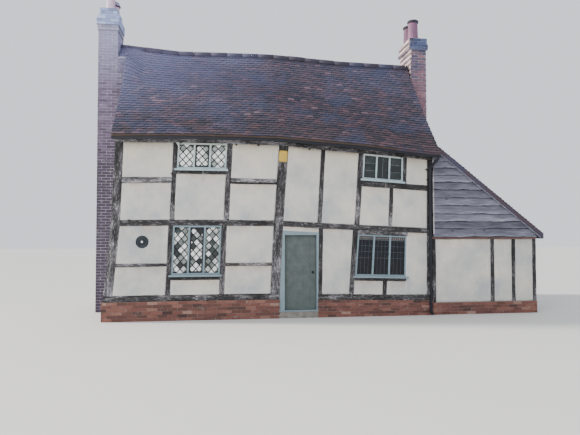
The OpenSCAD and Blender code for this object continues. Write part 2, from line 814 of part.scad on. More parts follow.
module front_glass() {
    in_place() color([0.55, 0.62, 0.62, 0.6]) for (w = win_places) window_panes(w[0], w[1], w[2], w[3]);
}

module back_windows() {
    in_place() color(paint_blue) translate([0, house_w, 0]) mirror([0, 1, 0]) wall_windows();
}

module back_glass() {
    in_place() color([0.55, 0.62, 0.62, 0.6])
        translate([0, house_w, 0]) mirror([0, 1, 0]) for (w = win_places) window_panes(w[0], w[1], w[2], w[3]);
}

// Front door

// Upright opening of the door in its leaning bay
leaf_x0 = low_left(3) + door_in;
leaf_z0 = floor_h + threshold_h + leaf_gap;
door_gap_x0 = leaf_x0 - leaf_gap;
door_gap_x1 = leaf_x0 + leaf_w + leaf_gap;
door_gap_z1 = leaf_z0 + leaf_h + leaf_gap;
frame_top_z = beam_z - over_door_h - snug;

module door_frame() {
    left = low_left(3);
    right = low_right(3);
    in_place() color(paint_blue) difference() {
        carry_back(0, wall_t)
            polygon([
                [settle(left, plinth_h)[0], floor_h + snug],
                [settle(right, plinth_h)[0], floor_h + snug],
                settle(right, plinth_h),
                settle(right, frame_top_z),
                settle(left, frame_top_z),
                settle(left, plinth_h)
            ]);
        translate([door_gap_x0, -1, floor_h + threshold_h])
            cube([door_gap_x1 - door_gap_x0, wall_t + 2, door_gap_z1 - floor_h - threshold_h]);
    }
}

// Plank door, hung flush with the inner face of the wall
module front_door() {
    plank_w = leaf_w / planks;
    in_place() color([0.30, 0.36, 0.36]) difference() {
        translate([leaf_x0, wall_t - leaf_t, leaf_z0]) cube([leaf_w, leaf_t, leaf_h]);
        for (k = [1:planks - 1])
            translate([leaf_x0 + k * plank_w - groove_w / 2, wall_t - leaf_t - 1, leaf_z0 - 1])
                cube([groove_w, groove_w / 2 + 1, leaf_h + 2]);
    }
}

hinge_zs = [for (share = hinge_share) leaf_z0 + leaf_h * share];

// Pins that stand on brackets on the inner face of the door frame
module door_pintles() {
    bracket_r = pin_r + 3;
    bracket_t = hinge_off - snug + pin_r;
    in_place() color(pipe_black)
        for (z = hinge_zs)
            translate([leaf_x0, wall_t + hinge_off, z]) {
                cylinder(r = pin_r, h = strap_h + pin_r);
                translate([0, 0, -bracket_h]) cylinder(r = bracket_r, h = bracket_h);
                translate([-bracket_l, snug - hinge_off, -bracket_h]) cube([bracket_l, bracket_t, bracket_h]);
            }
}

// Two strap hinges on the inner face of the door, and a knob on its plate outside
module door_ironwork() {
    face_y = wall_t - leaf_t - snug;
    knob_at = [leaf_x0 + leaf_w - knob_in, face_y, leaf_z0 + leaf_h / 2];
    in_place() color(pipe_black) {
        for (z = hinge_zs)
            translate([leaf_x0, wall_t + hinge_off, z + snug])
                difference() {
                    union() {
                        cylinder(r = eye_r, h = strap_h);
                        translate([0, snug - hinge_off, 0]) cube([strap_l, strap_t, strap_h]);
                    }
                    translate([0, 0, -1]) cylinder(r = pin_r + snug, h = strap_h + 2);
                    translate([-eye_r - 1, -hinge_off, -1]) cube([eye_r + 6, hinge_off - eye_r + 1, strap_h + 2]);
                }
        translate(knob_at) rotate([90, 0, 0]) cylinder(r = knob_plate_r, h = strap_t);
        translate(knob_at) rotate([90, 0, 0]) cylinder(r = knob_r, h = knob_out);
    }
}

// Roof

// Upper edge of the wall plate as it lies after the settlement
plate_line = [for (x = post_x) settle(x, plate_top)];

module rafter(x) {
    y0 = -rafter_foot;
    xa = x - rafter_w / 2;
    xb = x + rafter_w / 2;
    top = concat([[y0, low_under(xa, xb, y0) - snug]], under_line(xa, xb, snug));
    n = len(top) - 1;
    low = [for (i = [n:-1:0]) [top[i][0], top[i][1] - rafter_v]];
    seat_z = max([for (p = concat([[xa, 0], [xb, 0]], plate_line)) if (p[0] >= xa && p[0] <= xb)
        lookup(p[0], plate_line)]) + snug;
    trim = house_w / 2 - snug;
    difference() {
        translate([xa, 0, 0])
            rotate([90, 0, 90])
                linear_extrude(rafter_w)
                    polygon([for (p = concat(top, low)) [min(p[0], trim), p[1]]]);
        translate([xa - 1, y0 - 1, seat_z - house_w])
            cube([rafter_w + 2, wall_t + snug - y0 + 1, house_w]);
    }
}

module rafters() {
    first = wall_t * 2 + rafter_w;
    step = (house_l - 2 * first) / (rafters - 1);
    in_place() color([0.40, 0.30, 0.22])
        both_walls() for (i = [0:rafters - 1]) rafter(first + i * step);
}

// Space that the right stack takes out of the roofs and the lean-to floor
module stack_cut() {
    stack_r_block(stack_r_x0, foot_r_w + stack_r_w, 0, foot_r_z, snug);
    stack_r_block(shaft_r_x0, stack_r_w, 0, 2 * ridge_z, snug);
}

module front_roof() {
    in_place() color(tile_brown) difference() {
        slope();
        stack_cut();
    }
}

module back_roof() {
    in_place() color(tile_brown) difference() {
        translate([0, house_w, 0]) mirror([0, 1, 0]) slope();
        stack_cut();
    }
}

// Steepness of the slope next to the ridge, and outline of a tile that sits on it
function ridge_slope(x) =
    let (run = house_w / 2 / roof_steps)
    (ridge_top(x) - roof_top(x, roof_share(house_w / 2 - run))) / run;
function ridge_outline(steep) =
    let (side = steep * ridge_r, middle = side / 2)
    concat(
        [for (a = [0:15:180]) [ridge_r * cos(a), (middle + ridge_t) * sin(a) - middle]],
        [[-ridge_r, -side], [0, 0], [ridge_r, -side]]
    );

// Rounded tiles along the sagging ridge, bedded on both slopes
module ridge_tiles() {
    fall = (ridge_top(roof_x0) - ridge_top(post_x[1])) / (post_x[1] - roof_x0);
    start = roof_x0 + max(0, fall) * ridge_r * ridge_slope(roof_x0);
    end = min(roof_x1, shaft_r_x0 - snug);
    xs = concat(start, [for (x = roof_xs) if (x > roof_x0 && x < end) x], end);
    in_place() color(pot_red)
        for (i = [0:len(xs) - 2]) {
            run = [xs[i + 1] - xs[i], ridge_top(xs[i + 1]) - ridge_top(xs[i])];
            steep = min(ridge_slope(xs[i]), ridge_slope(xs[i + 1]));
            count = ceil(norm(run) / ridge_tile_l);
            step = norm(run) / count;
            translate([xs[i], house_w / 2, ridge_top(xs[i]) + 2 * snug])
                rotate([0, -atan2(run[1], run[0]), 0])
                    for (k = [0:count - 1])
                        translate([k * step + ridge_joint / 2, 0, 0])
                            rotate([90, 0, 90])
                                linear_extrude(step - ridge_joint)
                                    polygon(ridge_outline(steep));
        }
}

// Upright face of a strip that hangs below the tile edge
function eave_strip(z0, z1) =
    concat(
        [for (x = roof_xs) [x, eave_z(x) + z0]],
        [for (i = [len(roof_xs) - 1:-1:0]) [roof_xs[i], eave_z(roof_xs[i]) + z1]]
    );

// Boards across the rafter feet, just under the tiles
fascia_clear = 12;
fascia_y = -rafter_foot - snug - fascia_t;
fascia_top = roof_under(post_x[1], fascia_y) - eave_z(post_x[1]) - fascia_clear;
gutter_top = -edge_v - gutter_clear;

module fascias() {
    in_place() color([0.34, 0.22, 0.14])
        both_walls() carry_back(fascia_y, fascia_y + fascia_t) polygon(eave_strip(fascia_top - fascia_h, fascia_top));
}

module gutters() {
    y1 = fascia_y - snug;
    y0 = y1 - gutter_w;
    in_place() color(pipe_black)
        both_walls() difference() {
            carry_back(y0, y1) polygon(eave_strip(gutter_top - gutter_h, gutter_top));
            carry_back(y0 + gutter_t, y1 - gutter_t) polygon(eave_strip(gutter_top - gutter_h + gutter_t, gutter_top + 1));
        }
}

// Radius of a collar as a multiple of the radius of its pipe
collar = 1.15;

// Round pipe from one point to another, with a collar at its start
module pipe_run(a, b, r) {
    d = b - a;
    turn = atan2(d[1], d[0]);
    tilt = acos(d[2] / norm(d));
    translate(a) {
        sphere(r * collar);
        rotate([0, tilt, turn]) cylinder(r = r, h = norm(d));
    }
}

module downpipe() {
    pipe_x = post_x[last];
    pipe_y = -plinth_out - pipe_clear - collar * pipe_r;
    neck_r = pipe_r * 0.9;
    outlet = [
        roof_x1 - outlet_in,
        fascia_y - snug - gutter_w / 2,
        eave_z(roof_x1) + gutter_top - gutter_h - snug
    ];
    neck_top = outlet - [0, 0, collar * neck_r];
    knee = [pipe_x, pipe_y, outlet[2] - neck_h];
    foot = [pipe_x, pipe_y, shoe_z[0]];
    shoe = [pipe_x, pipe_y - shoe_out, shoe_z[1]];
    in_place() color(pipe_black) {
        pipe_run(neck_top, outlet, neck_r);
        pipe_run(knee, neck_top, neck_r);
        pipe_run(foot, knee, pipe_r);
        pipe_run(foot, shoe, neck_r);
        for (z = clip_z)
            translate([settle(pipe_x, z)[0] - clip_size[0] / 2, pipe_y, z - clip_size[1] / 2])
                cube([clip_size[0], -pipe_y - snug, clip_size[1]]);
    }
}

// Chimneys

stack_r_x0 = house_l + stack_r_in;
shaft_r_x0 = stack_r_x0 + foot_r_w;
stack_back = house_w / 2 - stack_fore;
shaft_l_x0 = -stack_l_out;
shaft_l_x1 = shaft_l_x0 + shaft_l_w;

// Stack whose inner side follows the leaning gable wall up to the roof
module left_stack() {
    wall_line = [for (z = [plinth_h, beam_z, shaft_l_z]) settle(0, z) - [snug, 0]];
    foot_x = plinth_x0 - snug;
    in_place() color(brick_red) {
        intersection() {
            carry_back(stack_back, stack_back + stack_l_d)
                polygon(concat(
                    [[shaft_l_x0, shaft_l_z], [shaft_l_x0, 0], [foot_x, 0], [foot_x, plinth_top_at(plinth_x0)]],
                    wall_line
                ));
            under_roof(0, left_reach, -house_w, house_w, snug);
        }
        translate([shaft_l_x0, stack_back, beam_z]) cube([shaft_l_w, stack_l_d, shaft_l_z - beam_z]);
    }
}

// Raised shoulder between the shaft and the roof, clear of the cap of a short shaft
module left_shoulder() {
    x0 = shaft_l_x1 + snug;
    x1 = roof_x0 - snug;
    clear = cap_out + snug;
    top_z = ridge_top(0);
    back_y = stack_back + stack_l_d;
    back_z = top_z - (top_z - shoulder_z) * (back_y - house_w / 2) / stack_fore;
    in_place() color(tile_brown) difference() {
        translate([x0, 0, 0])
            rotate([90, 0, 90])
                linear_extrude(x1 - x0)
                    polygon([
                        [stack_back, beam_z],
                        [stack_back, shoulder_z],
                        [house_w / 2, top_z],
                        [back_y, back_z],
                        [back_y, beam_z]
                    ]);
        under_roof(0, left_reach, x0 - 1, x1 + 1, 0);
        translate([shaft_l_x0, stack_back - clear, shaft_l_z])
            cube([shaft_l_w + clear, stack_l_d + 2 * clear, ridge_z]);
    }
}

// Block of courses that stands out from a shaft by the given distance on all sides
module course_block(x0, y0, w, d, z0, z1, out) {
    translate([x0 - out, y0 - out, z0]) cube([w + 2 * out, d + 2 * out, z1 - z0]);
}

// Such a block of the left or the right stack
module stack_l_block(z0, z1, out) course_block(shaft_l_x0, stack_back, shaft_l_w, stack_l_d, z0, z1, out);
module stack_r_block(x0, w, z0, z1, out)
    course_block(x0, house_w / 2 - stack_r_fore, w, stack_r_d, z0, z1, out);

// Round pot with a flared rim and an open bore
module pot(r, h) {
    taper = r * 0.92;
    rim = r * 1.07;
    rotate_extrude()
        polygon([[r - pot_t, 0], [r, 0], [taper, h * 0.9], [rim, h * 0.93], [rim, h], [taper - pot_t, h]]);
}

cap_l_z = shaft_l_z + snug;
crown_l_z = cap_l_z + corbel_l_h + band_l_h;
cap_r_z = shaft_r_z + snug;
crown_r_z = cap_r_z + band_r_h;

module left_cap() {
    in_place() color(brick_red) {
        stack_l_block(cap_l_z, cap_l_z + corbel_l_h, cap_out / 2);
        stack_l_block(cap_l_z + corbel_l_h, crown_l_z, cap_out);
        stack_l_block(crown_l_z, crown_l_z + crown_l_h, -crown_l_in);
    }
}

module left_pots() {
    in_place() color(pot_red)
        for (i = [0, 1])
            translate([
                shaft_l_x0 + pot_l_side[i] * shaft_l_w,
                stack_back + pot_l_depth[i] * stack_l_d,
                crown_l_z + crown_l_h + snug
            ])
                pot(pot_l_r, pot_l_h[i]);
}

module right_stack() {
    in_place() color(brick_red) {
        stack_r_block(stack_r_x0, foot_r_w + stack_r_w, 0, foot_r_z, 0);
        stack_r_block(shaft_r_x0, stack_r_w, 0, shaft_r_z, 0);
    }
}

module right_cap() {
    in_place() color(cap_blue) {
        stack_r_block(shaft_r_x0, stack_r_w, cap_r_z, crown_r_z, cap_out);
        stack_r_block(shaft_r_x0, stack_r_w, crown_r_z, crown_r_z + crown_r_h, crown_r_out);
    }
}

module right_pots() {
    in_place() color(pot_red)
        for (i = [0, 1])
            translate([
                shaft_r_x0 + pot_r_side * stack_r_w,
                house_w / 2 - stack_r_fore + pot_r_depth[i] * stack_r_d,
                crown_r_z + crown_r_h + snug
            ])
                pot(pot_r_r, pot_r_h[i]);
}

// Lean-to

lean_x0 = plinth_x1 + snug;
lean_x1 = house_l + lean_l;
lean_fall = tan(lean_pitch);
function lean_roof_z(x) = lean_top_z - (x - roof_x1) * lean_fall;
function lean_under_z(x) = lean_roof_z(x) - lean_roof_v;
function gable_x(z) = settle(house_l, z + settle_top)[0] + snug;
// Inner end of what stands against the gable, below the highest point of the roof
gable_in = gable_x(lean_roof_z(house_l));

module leanto_plinth() {
    t = plinth_t - plinth_out;
    in_place() color(brick_red) {
        translate([lean_x0, 0, 0]) cube([lean_x1 - lean_x0, t, lean_plinth_h]);
        translate([lean_x0, house_w - t, 0]) cube([lean_x1 - lean_x0, t, lean_plinth_h]);
        translate([lean_x1 - t, t, 0]) cube([t, house_w - 2 * t, lean_plinth_h]);
    }
}

module leanto_floor() {
    t = plinth_t - plinth_out + snug;
    in_place() color(floor_stone) difference() {
        translate([lean_x0, t, 0]) cube([lean_x1 - t - lean_x0, house_w - 2 * t, floor_h]);
        stack_cut();
    }
}

// Left sides of the lean-to posts
lean_posts_x = concat(lean_x0, [for (k = [2:-1:0]) lean_x1 - lean_post_w - k * lean_bay]);

// Posts, plates and raking timbers of the lean-to
module leanto_frame() {
    z0 = lean_plinth_h + snug;
    rake_z = lean_under_z(roof_x1) - snug;
    in_place() color(timber_black) {
        both_walls() {
            for (x = lean_posts_x)
                translate([x, board_t, z0]) cube([lean_post_w, lean_frame_t, lean_plate_z - snug - z0]);
            translate([lean_posts_x[0], board_t, lean_plate_z])
                cube([lean_x1 - lean_posts_x[0], lean_frame_t, lean_plate_h]);
            carry_back(board_t, board_t + lean_frame_t)
                polygon([
                    [roof_x1, rake_z],
                    [gable_in, rake_z],
                    [gable_in, rake_z - rake_h],
                    [roof_x1, rake_z - rake_h],
                    [lean_x1, lean_under_z(lean_x1) - snug - rake_h],
                    [lean_x1, lean_under_z(lean_x1) - snug]
                ]);
        }
    }
}

// Plaster below the plate at the front, the back and the end
module leanto_panels() {
    y0 = board_t + panel_back;
    z0 = lean_plinth_h + snug;
    z1 = lean_plate_z - snug;
    in_place() color(plaster_white) {
        both_walls()
            for (k = [0:2])
                translate([lean_posts_x[k] + lean_post_w + snug, y0, z0])
                    cube([lean_posts_x[k + 1] - lean_posts_x[k] - lean_post_w - 2 * snug, lean_panel_t, z1 - z0]);
        translate([lean_x1 - lean_post_w, board_t + lean_frame_t + snug, z0])
            cube([lean_post_w - panel_back, house_w - 2 * (board_t + lean_frame_t + snug), z1 - z0 + lean_plate_h]);
    }
}

// Boarding from the plate up to the roof, over the front and the back frame
module leanto_boarding() {
    z0 = lean_plate_z + lean_plate_h - board_lap;
    in_place() color(board_grey)
        both_walls() carry_back(0, board_t - snug)
            polygon([
                [gable_in, z0],
                [lean_x1, z0],
                [lean_x1, lean_under_z(lean_x1) - snug],
                [roof_x1, lean_under_z(roof_x1) - snug],
                [gable_in, lean_under_z(roof_x1) - snug]
            ]);
}

module leanto_roof() {
    eave_x = lean_x1 + lean_eave;
    in_place() color(tile_brown) difference() {
        union() {
            carry_back(-lean_verge, house_w + lean_verge)
                polygon([
                    [roof_x1 + snug, lean_under_z(roof_x1 + snug)],
                    [eave_x, lean_under_z(eave_x)],
                    [eave_x, lean_roof_z(eave_x)],
                    [roof_x1 + snug, lean_roof_z(roof_x1 + snug)]
                ]);
            carry_back(strip_in, house_w - strip_in)
                polygon([
                    [gable_in, lean_under_z(gable_in)],
                    [roof_x1 + 1, lean_under_z(roof_x1 + 1)],
                    [roof_x1 + 1, lean_roof_z(roof_x1 + 1)],
                    [gable_in, lean_roof_z(gable_in)]
                ]);
        }
        stack_cut();
    }
}

// Round cast plate with a raised rim and a central nut, on the first panel
module wall_tie() {
    nut_r = tie_r / 6;
    web_t = tie_rim_t / 2;
    in_place() color(pipe_black)
        translate([tie_x, panel_back - snug, tie_z])
            rotate([90, 0, 0])
                rotate_extrude()
                    polygon([
                        [0, 0],
                        [tie_r, 0],
                        [tie_r, tie_rim_t * 0.7],
                        [tie_r * 0.94, tie_rim_t],
                        [tie_r * 0.8, tie_rim_t],
                        [tie_r * 0.74, web_t],
                        [tie_r * 0.3, web_t],
                        [nut_r, tie_rim_t * 0.8],
                        [nut_r, tie_nut_out],
                        [0, tie_nut_out]
                    ]);
}

plinth();
doorstep();
ground_floor();
upper_floor();
sill_beams();
corner_posts();
main_posts();
lower_studs();
upper_studs();
girding_beams();
wall_plates();
rails();
front_lower_panels();
front_upper_panels();
back_panels();
left_gable_frame();
left_gable_panels();
right_gable_frame();
right_gable_panels();
front_windows();
front_glass();
back_windows();
back_glass();
door_frame();
door_pintles();
front_door();
door_ironwork();
rafters();
front_roof();
back_roof();
ridge_tiles();
fascias();
gutters();
downpipe();
left_stack();
left_shoulder();
left_cap();
left_pots();
right_stack();
right_cap();
right_pots();
leanto_plinth();
leanto_floor();
leanto_frame();
leanto_panels();
leanto_boarding();
leanto_roof();
wall_tie();
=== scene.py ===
import math
import bpy
import numpy as np
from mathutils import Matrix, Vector


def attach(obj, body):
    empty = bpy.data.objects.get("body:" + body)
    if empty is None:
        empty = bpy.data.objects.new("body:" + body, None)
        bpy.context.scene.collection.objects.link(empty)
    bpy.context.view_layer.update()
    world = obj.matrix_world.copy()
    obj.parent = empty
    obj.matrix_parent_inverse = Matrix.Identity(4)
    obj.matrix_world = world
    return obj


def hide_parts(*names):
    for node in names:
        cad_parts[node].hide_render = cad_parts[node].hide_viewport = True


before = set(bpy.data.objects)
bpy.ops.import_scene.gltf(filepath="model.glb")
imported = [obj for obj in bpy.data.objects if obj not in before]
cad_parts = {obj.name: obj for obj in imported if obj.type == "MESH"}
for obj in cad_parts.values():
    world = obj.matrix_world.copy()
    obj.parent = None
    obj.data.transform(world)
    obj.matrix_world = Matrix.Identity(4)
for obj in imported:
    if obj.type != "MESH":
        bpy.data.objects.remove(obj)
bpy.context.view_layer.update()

# BRICK PLINTH
# A low wall of old red bricks in lime mortar carries the sill beams and has sunk with them
# towards the right. The solid under the bricks stands for the mortar that they are laid in.
HOUSE_L, HOUSE_W = 7.68, 4.2
HOUSE_CORNER = np.array([-HOUSE_L / 2, -HOUSE_W / 2, 0])
SILL_Z, BEAM_Z, PLATE_Z = 0.45, 2.195, 4.13
POST_X = np.array([0.095, 1.35, 2.6, 3.84, 4.83, 5.76, 7.615])
FALL = [0.08, 0, 0, 0.05, 0.35, 0.56, 1]
LEAN_UP = np.tan(np.radians([1.9, 2.4, 2.6, 4.0, 3.1, 3.6, 0.5]))
LEAN_LOW = np.tan(np.radians([5.6, 2.0, 2.0, 3.0, 0.8, 4.2, 0.5]))
BRICK, COURSE, JOINT = 0.225, 0.075, 0.005
DOOR_GAP = (3.95, 4.825)
PLINTH_OUT = 0.02


def drop(x, z):
    """How far the frame has sunk: the share of its bay times 85 mm at the sill to 285 mm at the plate."""
    return np.interp(x, POST_X, FALL) * (0.085 + 0.2 * (z - SILL_Z) / (PLATE_Z - SILL_Z))


def settle(x, z):
    """Where a point of the true wall lies now: the tangent of its bay's lean times the height over the
    girding beam moves it sideways, and drop moves it down."""
    lean = np.where(z > BEAM_Z, np.interp(x, POST_X, LEAN_UP), np.interp(x, POST_X, LEAN_LOW))
    return x + lean * (z - BEAM_Z), z - drop(x, z)


def xyz(x, y, z):
    """Points out of their three coordinates."""
    return np.stack(np.broadcast_arrays(x, y, z), -1).astype(float)


def wall_face(x0, y0, turn, sunk=False):
    """Place function of a wall face that starts at x0, y0 and runs along turn: place(a, d, z) is the
    point a along it, d behind it and z up. If sunk, its heights shrink with the fall of the sill."""
    def place(a, d, z):
        x, y = x0 + a * turn[0] - d * turn[1], y0 + a * turn[1] + d * turn[0]
        return xyz(x, y, z * (1 - drop(np.clip(x, 0, HOUSE_L), SILL_Z) / SILL_Z) if sunk else z)
    return place


def slabs(skin, back):
    """Closed solids between two grids of points. skin[n, i, j] is the outer face of solid n, with i to
    the right and j upwards as seen from outside, back[n, i, j] the face behind it, and four-sided
    faces join the two round the rim."""
    count, across, up = skin.shape[:3]
    cell = np.arange(across * up).reshape(across, up)
    face = np.stack([cell[:-1, :-1], cell[1:, :-1], cell[1:, 1:], cell[:-1, 1:]], -1).reshape(-1, 4)
    rim = np.concatenate([cell[:, 0], cell[-1, 1:], cell[-2::-1, -1], cell[0, -2:0:-1]])
    low = rim + across * up
    sides = np.stack([rim, low, np.roll(low, -1), np.roll(rim, -1)], -1)
    one = np.concatenate([face, face[:, ::-1] + across * up, sides])
    faces = (one[None] + np.arange(count)[:, None, None] * 2 * across * up).reshape(-1, 4)
    points = np.concatenate([skin.reshape(count, -1, 3), back.reshape(count, -1, 3)], 1)
    return points.reshape(-1, 3), faces


def put(name, parts, finish, replaces=(), smooth=False):
    """One named piece out of parts in the house's own metres from its front left corner. A part is
    (points, faces), or also has the tone of each point, or its tone and its place in the grain."""
    starts = np.cumsum([0] + [len(part[0]) for part in parts])
    points = np.concatenate([part[0] for part in parts]) + HOUSE_CORNER
    faces = np.concatenate([part[1] + start for part, start in zip(parts, starts)])
    mesh = bpy.data.meshes.new(name)
    mesh.vertices.add(len(points))
    mesh.vertices.foreach_set("co", points.ravel())
    mesh.loops.add(faces.size)
    mesh.loops.foreach_set("vertex_index", faces.ravel())
    mesh.polygons.add(len(faces))
    mesh.polygons.foreach_set("loop_start", np.arange(len(faces)) * 4)
    mesh.polygons.foreach_set("use_smooth", np.full(len(faces), smooth))
    if len(parts[0]) > 2:
        tone = np.concatenate([part[2] for part in parts])
        mesh.attributes.new("tone", "FLOAT", "POINT").data.foreach_set("value", tone.astype(np.float32))
    if len(parts[0]) > 3:
        grain = np.concatenate([part[3] for part in parts])
        mesh.uv_layers.new(name="grain").data.foreach_set("uv", grain[faces.ravel()].ravel())
    mesh.materials.append(finish)
    mesh.update(calc_edges=True)
    mesh.validate()
    piece = bpy.data.objects.new(name, mesh)
    bpy.context.scene.collection.objects.link(piece)
    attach(piece, "house")
    if replaces:
        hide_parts(*replaces)


def dress(nodes, finish):
    """Gives nodes of the frame their finish."""
    for name in nodes:
        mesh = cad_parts[name].data
        if not mesh.materials:
            mesh.materials.append(finish)
        for i in range(len(mesh.materials)):
            mesh.materials[i] = finish


def tint(code):
    """Colour of a six-figure code, in linear light."""
    parts = np.array([int(code[i:i + 2], 16) for i in (0, 2, 4)]) / 255
    return (*np.where(parts > 0.04045, ((parts + 0.055) / 1.055) ** 2.4, parts / 12.92), 1)


class Finish:
    """A finish in the making. source says what its patterns follow: Object coordinates in metres, or
    the grain of a timber or board. numbers are the values that are the same all over it."""

    def __init__(self, name, source="Object", **numbers):
        self.material = bpy.data.materials.new(name)
        self.material.use_nodes = True
        self.tree, self.source, self.places = self.material.node_tree, source, {}
        self.shader = self.tree.nodes["Principled BSDF"]
        for key, value in numbers.items():
            self.shader.inputs[key].default_value = value

    def add(self, kind, wires, out=0, **settings):
        """Output of a new node. wires gives each of its sockets a number or another node's output."""
        node = self.tree.nodes.new("ShaderNode" + kind)
        for key, value in settings.items():
            setattr(node, key, value)
        for key, value in wires.items():
            if isinstance(value, bpy.types.NodeSocket):
                self.tree.links.new(value, node.inputs[key])
            else:
                node.inputs[key].default_value = value
        return node.outputs[out]

    def place(self, stretch=(1, 1, 1), source=None):
        """The coordinates, stretched along the axes; each stretch is made once."""
        key = (stretch, source or self.source)
        if key not in self.places:
            if key[1] == "grain":
                where = self.add("UVMap", {}, uv_map="grain")
            else:
                where = self.add("TexCoord", {}, "Object")
            self.places[key] = self.add("Mapping", {"Vector": where, "Scale": stretch})
        return self.places[key]

    def axis(self, letter, source=None):
        """One of the coordinates."""
        return self.add("SeparateXYZ", {"Vector": self.place(source=source)}, letter)

    def tone(self):
        """The tone that each brick, tile, pane or timber carries."""
        return self.add("Attribute", {}, "Fac", attribute_name="tone")

    def cloud(self, scale, detail, rough):
        """Noise. scale is one number, or three that stretch it along the axes."""
        stretch, scale = (scale, 1.0) if isinstance(scale, tuple) else ((1, 1, 1), scale)
        wires = {"Vector": self.place(stretch), "Scale": scale, "Detail": detail, "Roughness": rough}
        return self.add("TexNoise", wires)

    def sums(self, kind, one, other):
        """Sum, difference or product of two values."""
        return self.add("Math", {0: one, 1: other}, operation=kind)

    def varied(self, value, noise, amount):
        """value plus amount times how far the noise is from its middle."""
        return self.sums("ADD", value, self.sums("MULTIPLY", self.sums("SUBTRACT", noise, 0.5), amount))

    def spread(self, value, low, high, first=0.0, last=1.0):
        """first to last as value goes from low to high, and no further."""
        wires = {"Value": value, "From Min": low, "From Max": high, "To Min": first, "To Max": last}
        return self.add("MapRange", wires)

    def ramp(self, share, *stops):
        """Makes the colour run through the stops (place, code) as share goes from 0 to 1."""
        node = self.tree.nodes.new("ShaderNodeValToRGB")
        self.tree.links.new(share, node.inputs[0])
        bar = node.color_ramp.elements
        while len(bar) < len(stops):
            bar.new(0.5)
        for element, (place, code) in zip(bar, stops):
            element.position = place
            element.color = tint(code)
        self.colour = node.outputs[0]

    def coat(self, code, share, most=None):
        """Lays another colour over the first by share, or by share times most."""
        if most:
            share = self.sums("MULTIPLY", share, most)
        self.colour = self.add("MixRGB", {"Fac": share, "Color1": self.colour, "Color2": tint(code)})

    def painted_haze(self, code, low=4.6, most=0.58):
        """Pale painted haze of light, if a code is given, that grows from the height low up to 7 m, and from a tenth
        over the middle of the house to most at its left end."""
        if code:
            along = self.spread(self.axis("X"), -3.9, 0.2, most, 0.1)
            self.coat(code, self.sums("MULTIPLY", along, self.spread(self.axis("Z"), low, 7.0)))

    def done(self, height, depth):
        """The material, with its colour and a bump of the given depth in metres."""
        self.tree.links.new(self.colour, self.shader.inputs["Base Color"])
        bump = self.add("Bump", {"Height": height, "Distance": depth, "Strength": 1.0})
        self.tree.links.new(bump, self.shader.inputs["Normal"])
        return self.material


def brick_finish(name, *stops, painted_haze=None):
    """Burnt clay whose colour differs from brick to brick, with soot and lime on it, and painted haze where a code for
    it is given.
    """
    brick = Finish(name, Roughness=0.88)
    brick.ramp(brick.varied(brick.tone(), brick.cloud(30, 6, 0.65), 0.45), *stops)
    brick.coat("b9aea6", brick.spread(brick.cloud(9, 5, 0.7), 0.58, 0.72), 0.4)
    brick.painted_haze(painted_haze, 5.7, 0.48)
    return brick.done(brick.cloud(160, 5, 0.7), 0.003)


def two_tone(name, light, dark, rough, grain, bump, depth, painted_haze=None, metal=0.0):
    """Finish that wanders from dark to light with one noise, grain, and is raised by another, bump,
    each given by its scale, detail and roughness; where a code is given, painted haze lies over it."""
    plain = Finish(name, Roughness=rough, Metallic=metal)
    plain.ramp(plain.cloud(*grain), (0.3, dark), (0.7, light))
    plain.painted_haze(painted_haze, 5.7, 0.48)
    return plain.done(plain.cloud(*bump), depth)


def mortar_finish(name, light, dark, painted_haze=None):
    """Lime mortar with sand in it, stained by soot, with painted haze where a code for it is given."""
    return two_tone(name, light, dark, 0.95, (5, 6, 0.65), (220, 3, 0.7), 0.002, painted_haze)


def lay_bricks(place, length, low, high, seed, proud=0.006, tones=(0.5, 0.2), darkening=None, inside=None):
    """Bricks of one wall face in half bond. Each spans 215 mm of every 225 mm, is 65 mm of every 75 mm
    high and reaches 30 mm into the wall, and its four corners stand out by proud and up to 2.5 mm either
    way. Tones are drawn about a middle value, less the darkening given for that place, which is soot,
    darker header rows, and on the left stack dirt together with painted shade; inside gives the right end
    of the wall at each height."""
    rng = np.random.default_rng(seed)
    rows = max(1, round((high - low) / COURSE))
    pitch = (high - low) / rows
    row, k = np.meshgrid(np.arange(rows), np.arange(-1, int(length / BRICK) + 2), indexing="ij")
    begin = k * BRICK + (row % 2) * BRICK / 2
    left = np.maximum(begin + JOINT, -proud).ravel()
    right = np.minimum(begin + (BRICK - JOINT), length + proud).ravel()
    foot = low + row.ravel() * pitch
    if inside is not None:
        right = np.minimum(right, inside(foot + pitch))
    keep = right - left > 0.03
    left, right, foot = left[keep], right[keep], foot[keep]
    n = len(left)
    wobble = rng.uniform(-0.002, 0.002, (3, n, 2, 2))
    a = np.stack([left, right], 1)[:, :, None] + wobble[0]
    z = np.stack([foot + JOINT, foot + pitch - JOINT], 1)[:, None, :] + wobble[1]
    lift = -proud + rng.uniform(-0.0015, 0.0015, (n, 1, 1)) + wobble[2] * 0.5
    tone = rng.normal(*tones, n)
    if darkening is not None:
        tone = tone - darkening((left + right) / 2, foot)
    return *slabs(place(a, lift, z), place(a, 0.03, z)), np.repeat(np.clip(tone, 0, 1), 8)


